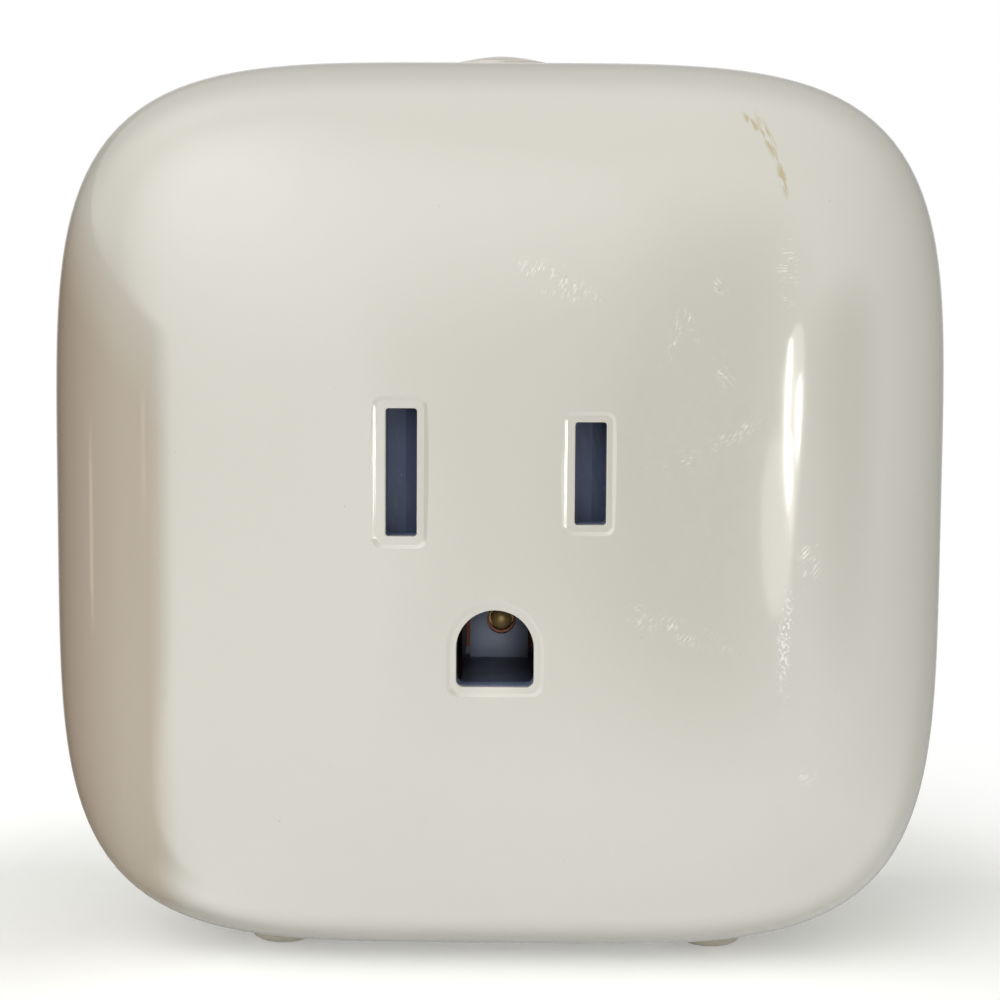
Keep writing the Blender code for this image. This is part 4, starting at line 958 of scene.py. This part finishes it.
def strip_lamp(name, degrees, height, size, radiance):
    """Stand an oval lamp to the right of the face, facing the streak's place."""
    turn = math.radians(degrees)
    place = STREAK_PLACE + Vector((math.sin(turn), -math.cos(turn), 0)) * LAMP_DISTANCE
    place.z = height * MM
    bpy.ops.object.light_add(type="AREA", location=place)
    lamp = bpy.context.object
    lamp.name = name
    lamp.data.shape = "ELLIPSE"
    lamp.data.size, lamp.data.size_y = size[0] * MM, size[1] * MM
    lamp.data.energy = radiance * math.pi * lamp.data.size * lamp.data.size_y * math.pi / 4
    lamp.data.color = WARM
    lamp.rotation_euler = (STREAK_PLACE - place).to_track_quat("-Z", "Y").to_euler()


for name, values in STREAKS.items():
    strip_lamp(name, *values)

for name, (rise, power) in TORCHES.items():
    bpy.ops.object.light_add(type="SPOT", location=(4 * MM, -160 * MM, GROUND_Z + rise))
    torch = bpy.context.object
    torch.name = name
    torch.data.energy = power
    torch.data.spot_size, torch.data.spot_blend = TORCH_ANGLE, 0.6
    torch.data.shadow_soft_size = 1.5 * MM
    into_hole = Vector((0.0, FRONT, GROUND_Z - 0.4 * MM)) - torch.location
    torch.rotation_euler = into_hole.to_track_quat("-Z", "Y").to_euler()

bpy.ops.mesh.primitive_plane_add(size=3.0, location=(0, 0, FLOOR))
table = bpy.context.object
table.name = "table"
table.visible_glossy = False
paper, tree, sheet, where = start("paper")
grain = noise(tree, where, 2 * MM)
seen = add(tree, "LightPath", {}).outputs["Is Camera Ray"]
sideways = add(tree, "SeparateXYZ", {0: where}).outputs["X"]
unseen = spread(tree, seen, 0.0, 1.0, 1.0, 0.0)
shaded = both(tree, spread(tree, sideways, -80 * MM, -40 * MM, 1.0, 0.0), unseen)
white_paper = blend_colour(tree, grain, light("f0f1f0"), light("f4f5f4"))
tree.links.new(blend_colour(tree, shaded, white_paper, light("7a6b57")), sheet.inputs["Base Color"])
sheet.inputs["Roughness"].default_value = 0.8
fade = spread(tree, ball(tree, where, (0.0, -22 * MM, 0.0), (136, 136, 136)), 0.4, 1.0, 1.0, 0.0)
glow = add(tree, "Emission", {"Color": WHITE, "Strength": 1.0})
# Painted shadow: the camera's white lift is lowered beside the plug's left and right sides.
lift_with_painted_shadow = blend_value(tree, ball(tree, where, (-37 * MM, -14 * MM, 0.0), (20, 34, 0)), 0.26, 0.05)
lift_with_painted_shadow = blend_value(tree, ball(tree, where, (37 * MM, -16 * MM, 0.0), (20, 34, 0)), lift_with_painted_shadow, 0.13)
lift_with_painted_shadow = both(tree, seen, lift_with_painted_shadow)
tree.links.new(lift_with_painted_shadow, sheet.inputs["Emission Strength"])
sheet.inputs["Emission Color"].default_value = WHITE
sockets = {0: both(tree, seen, fade), 1: sheet.outputs["BSDF"], 2: glow.outputs["Emission"]}
outer = add(tree, "MixShader", sockets)
tree.links.new(outer.outputs["Shader"], tree.nodes["Material Output"].inputs["Surface"])
table.data.materials.append(paper)
print("lamps and table set")

# %% [markdown]
# ## Camera
# The view was fitted to the socket's known spacing and to the body's outline: close, a little above,
# and turned a touch to the right.

# %% Camera
AIM = Vector((0.289 * MM, FRONT, 2.028 * MM))
DISTANCE = 160 * MM
AZIMUTH, ELEVATION, ROLL = math.radians(0.771), math.radians(5.904), math.radians(0.331)
SENSOR = 36
LENS = SENSOR * 2.3908
level = math.cos(ELEVATION)
back = Vector((math.sin(AZIMUTH) * level, -math.cos(AZIMUTH) * level, math.sin(ELEVATION)))
bpy.ops.object.camera_add(location=AIM + back * DISTANCE)
camera = bpy.context.object
camera.rotation_euler = (-back).to_track_quat("-Z", "Y").to_euler()
camera.rotation_euler.rotate_axis("Z", ROLL)
camera.data.sensor_width = SENSOR
camera.data.lens = LENS
camera.data.clip_start = 5 * MM
bpy.context.scene.camera = camera
bpy.context.scene.view_settings.view_transform = "Standard"
print("camera at", list(camera.location))
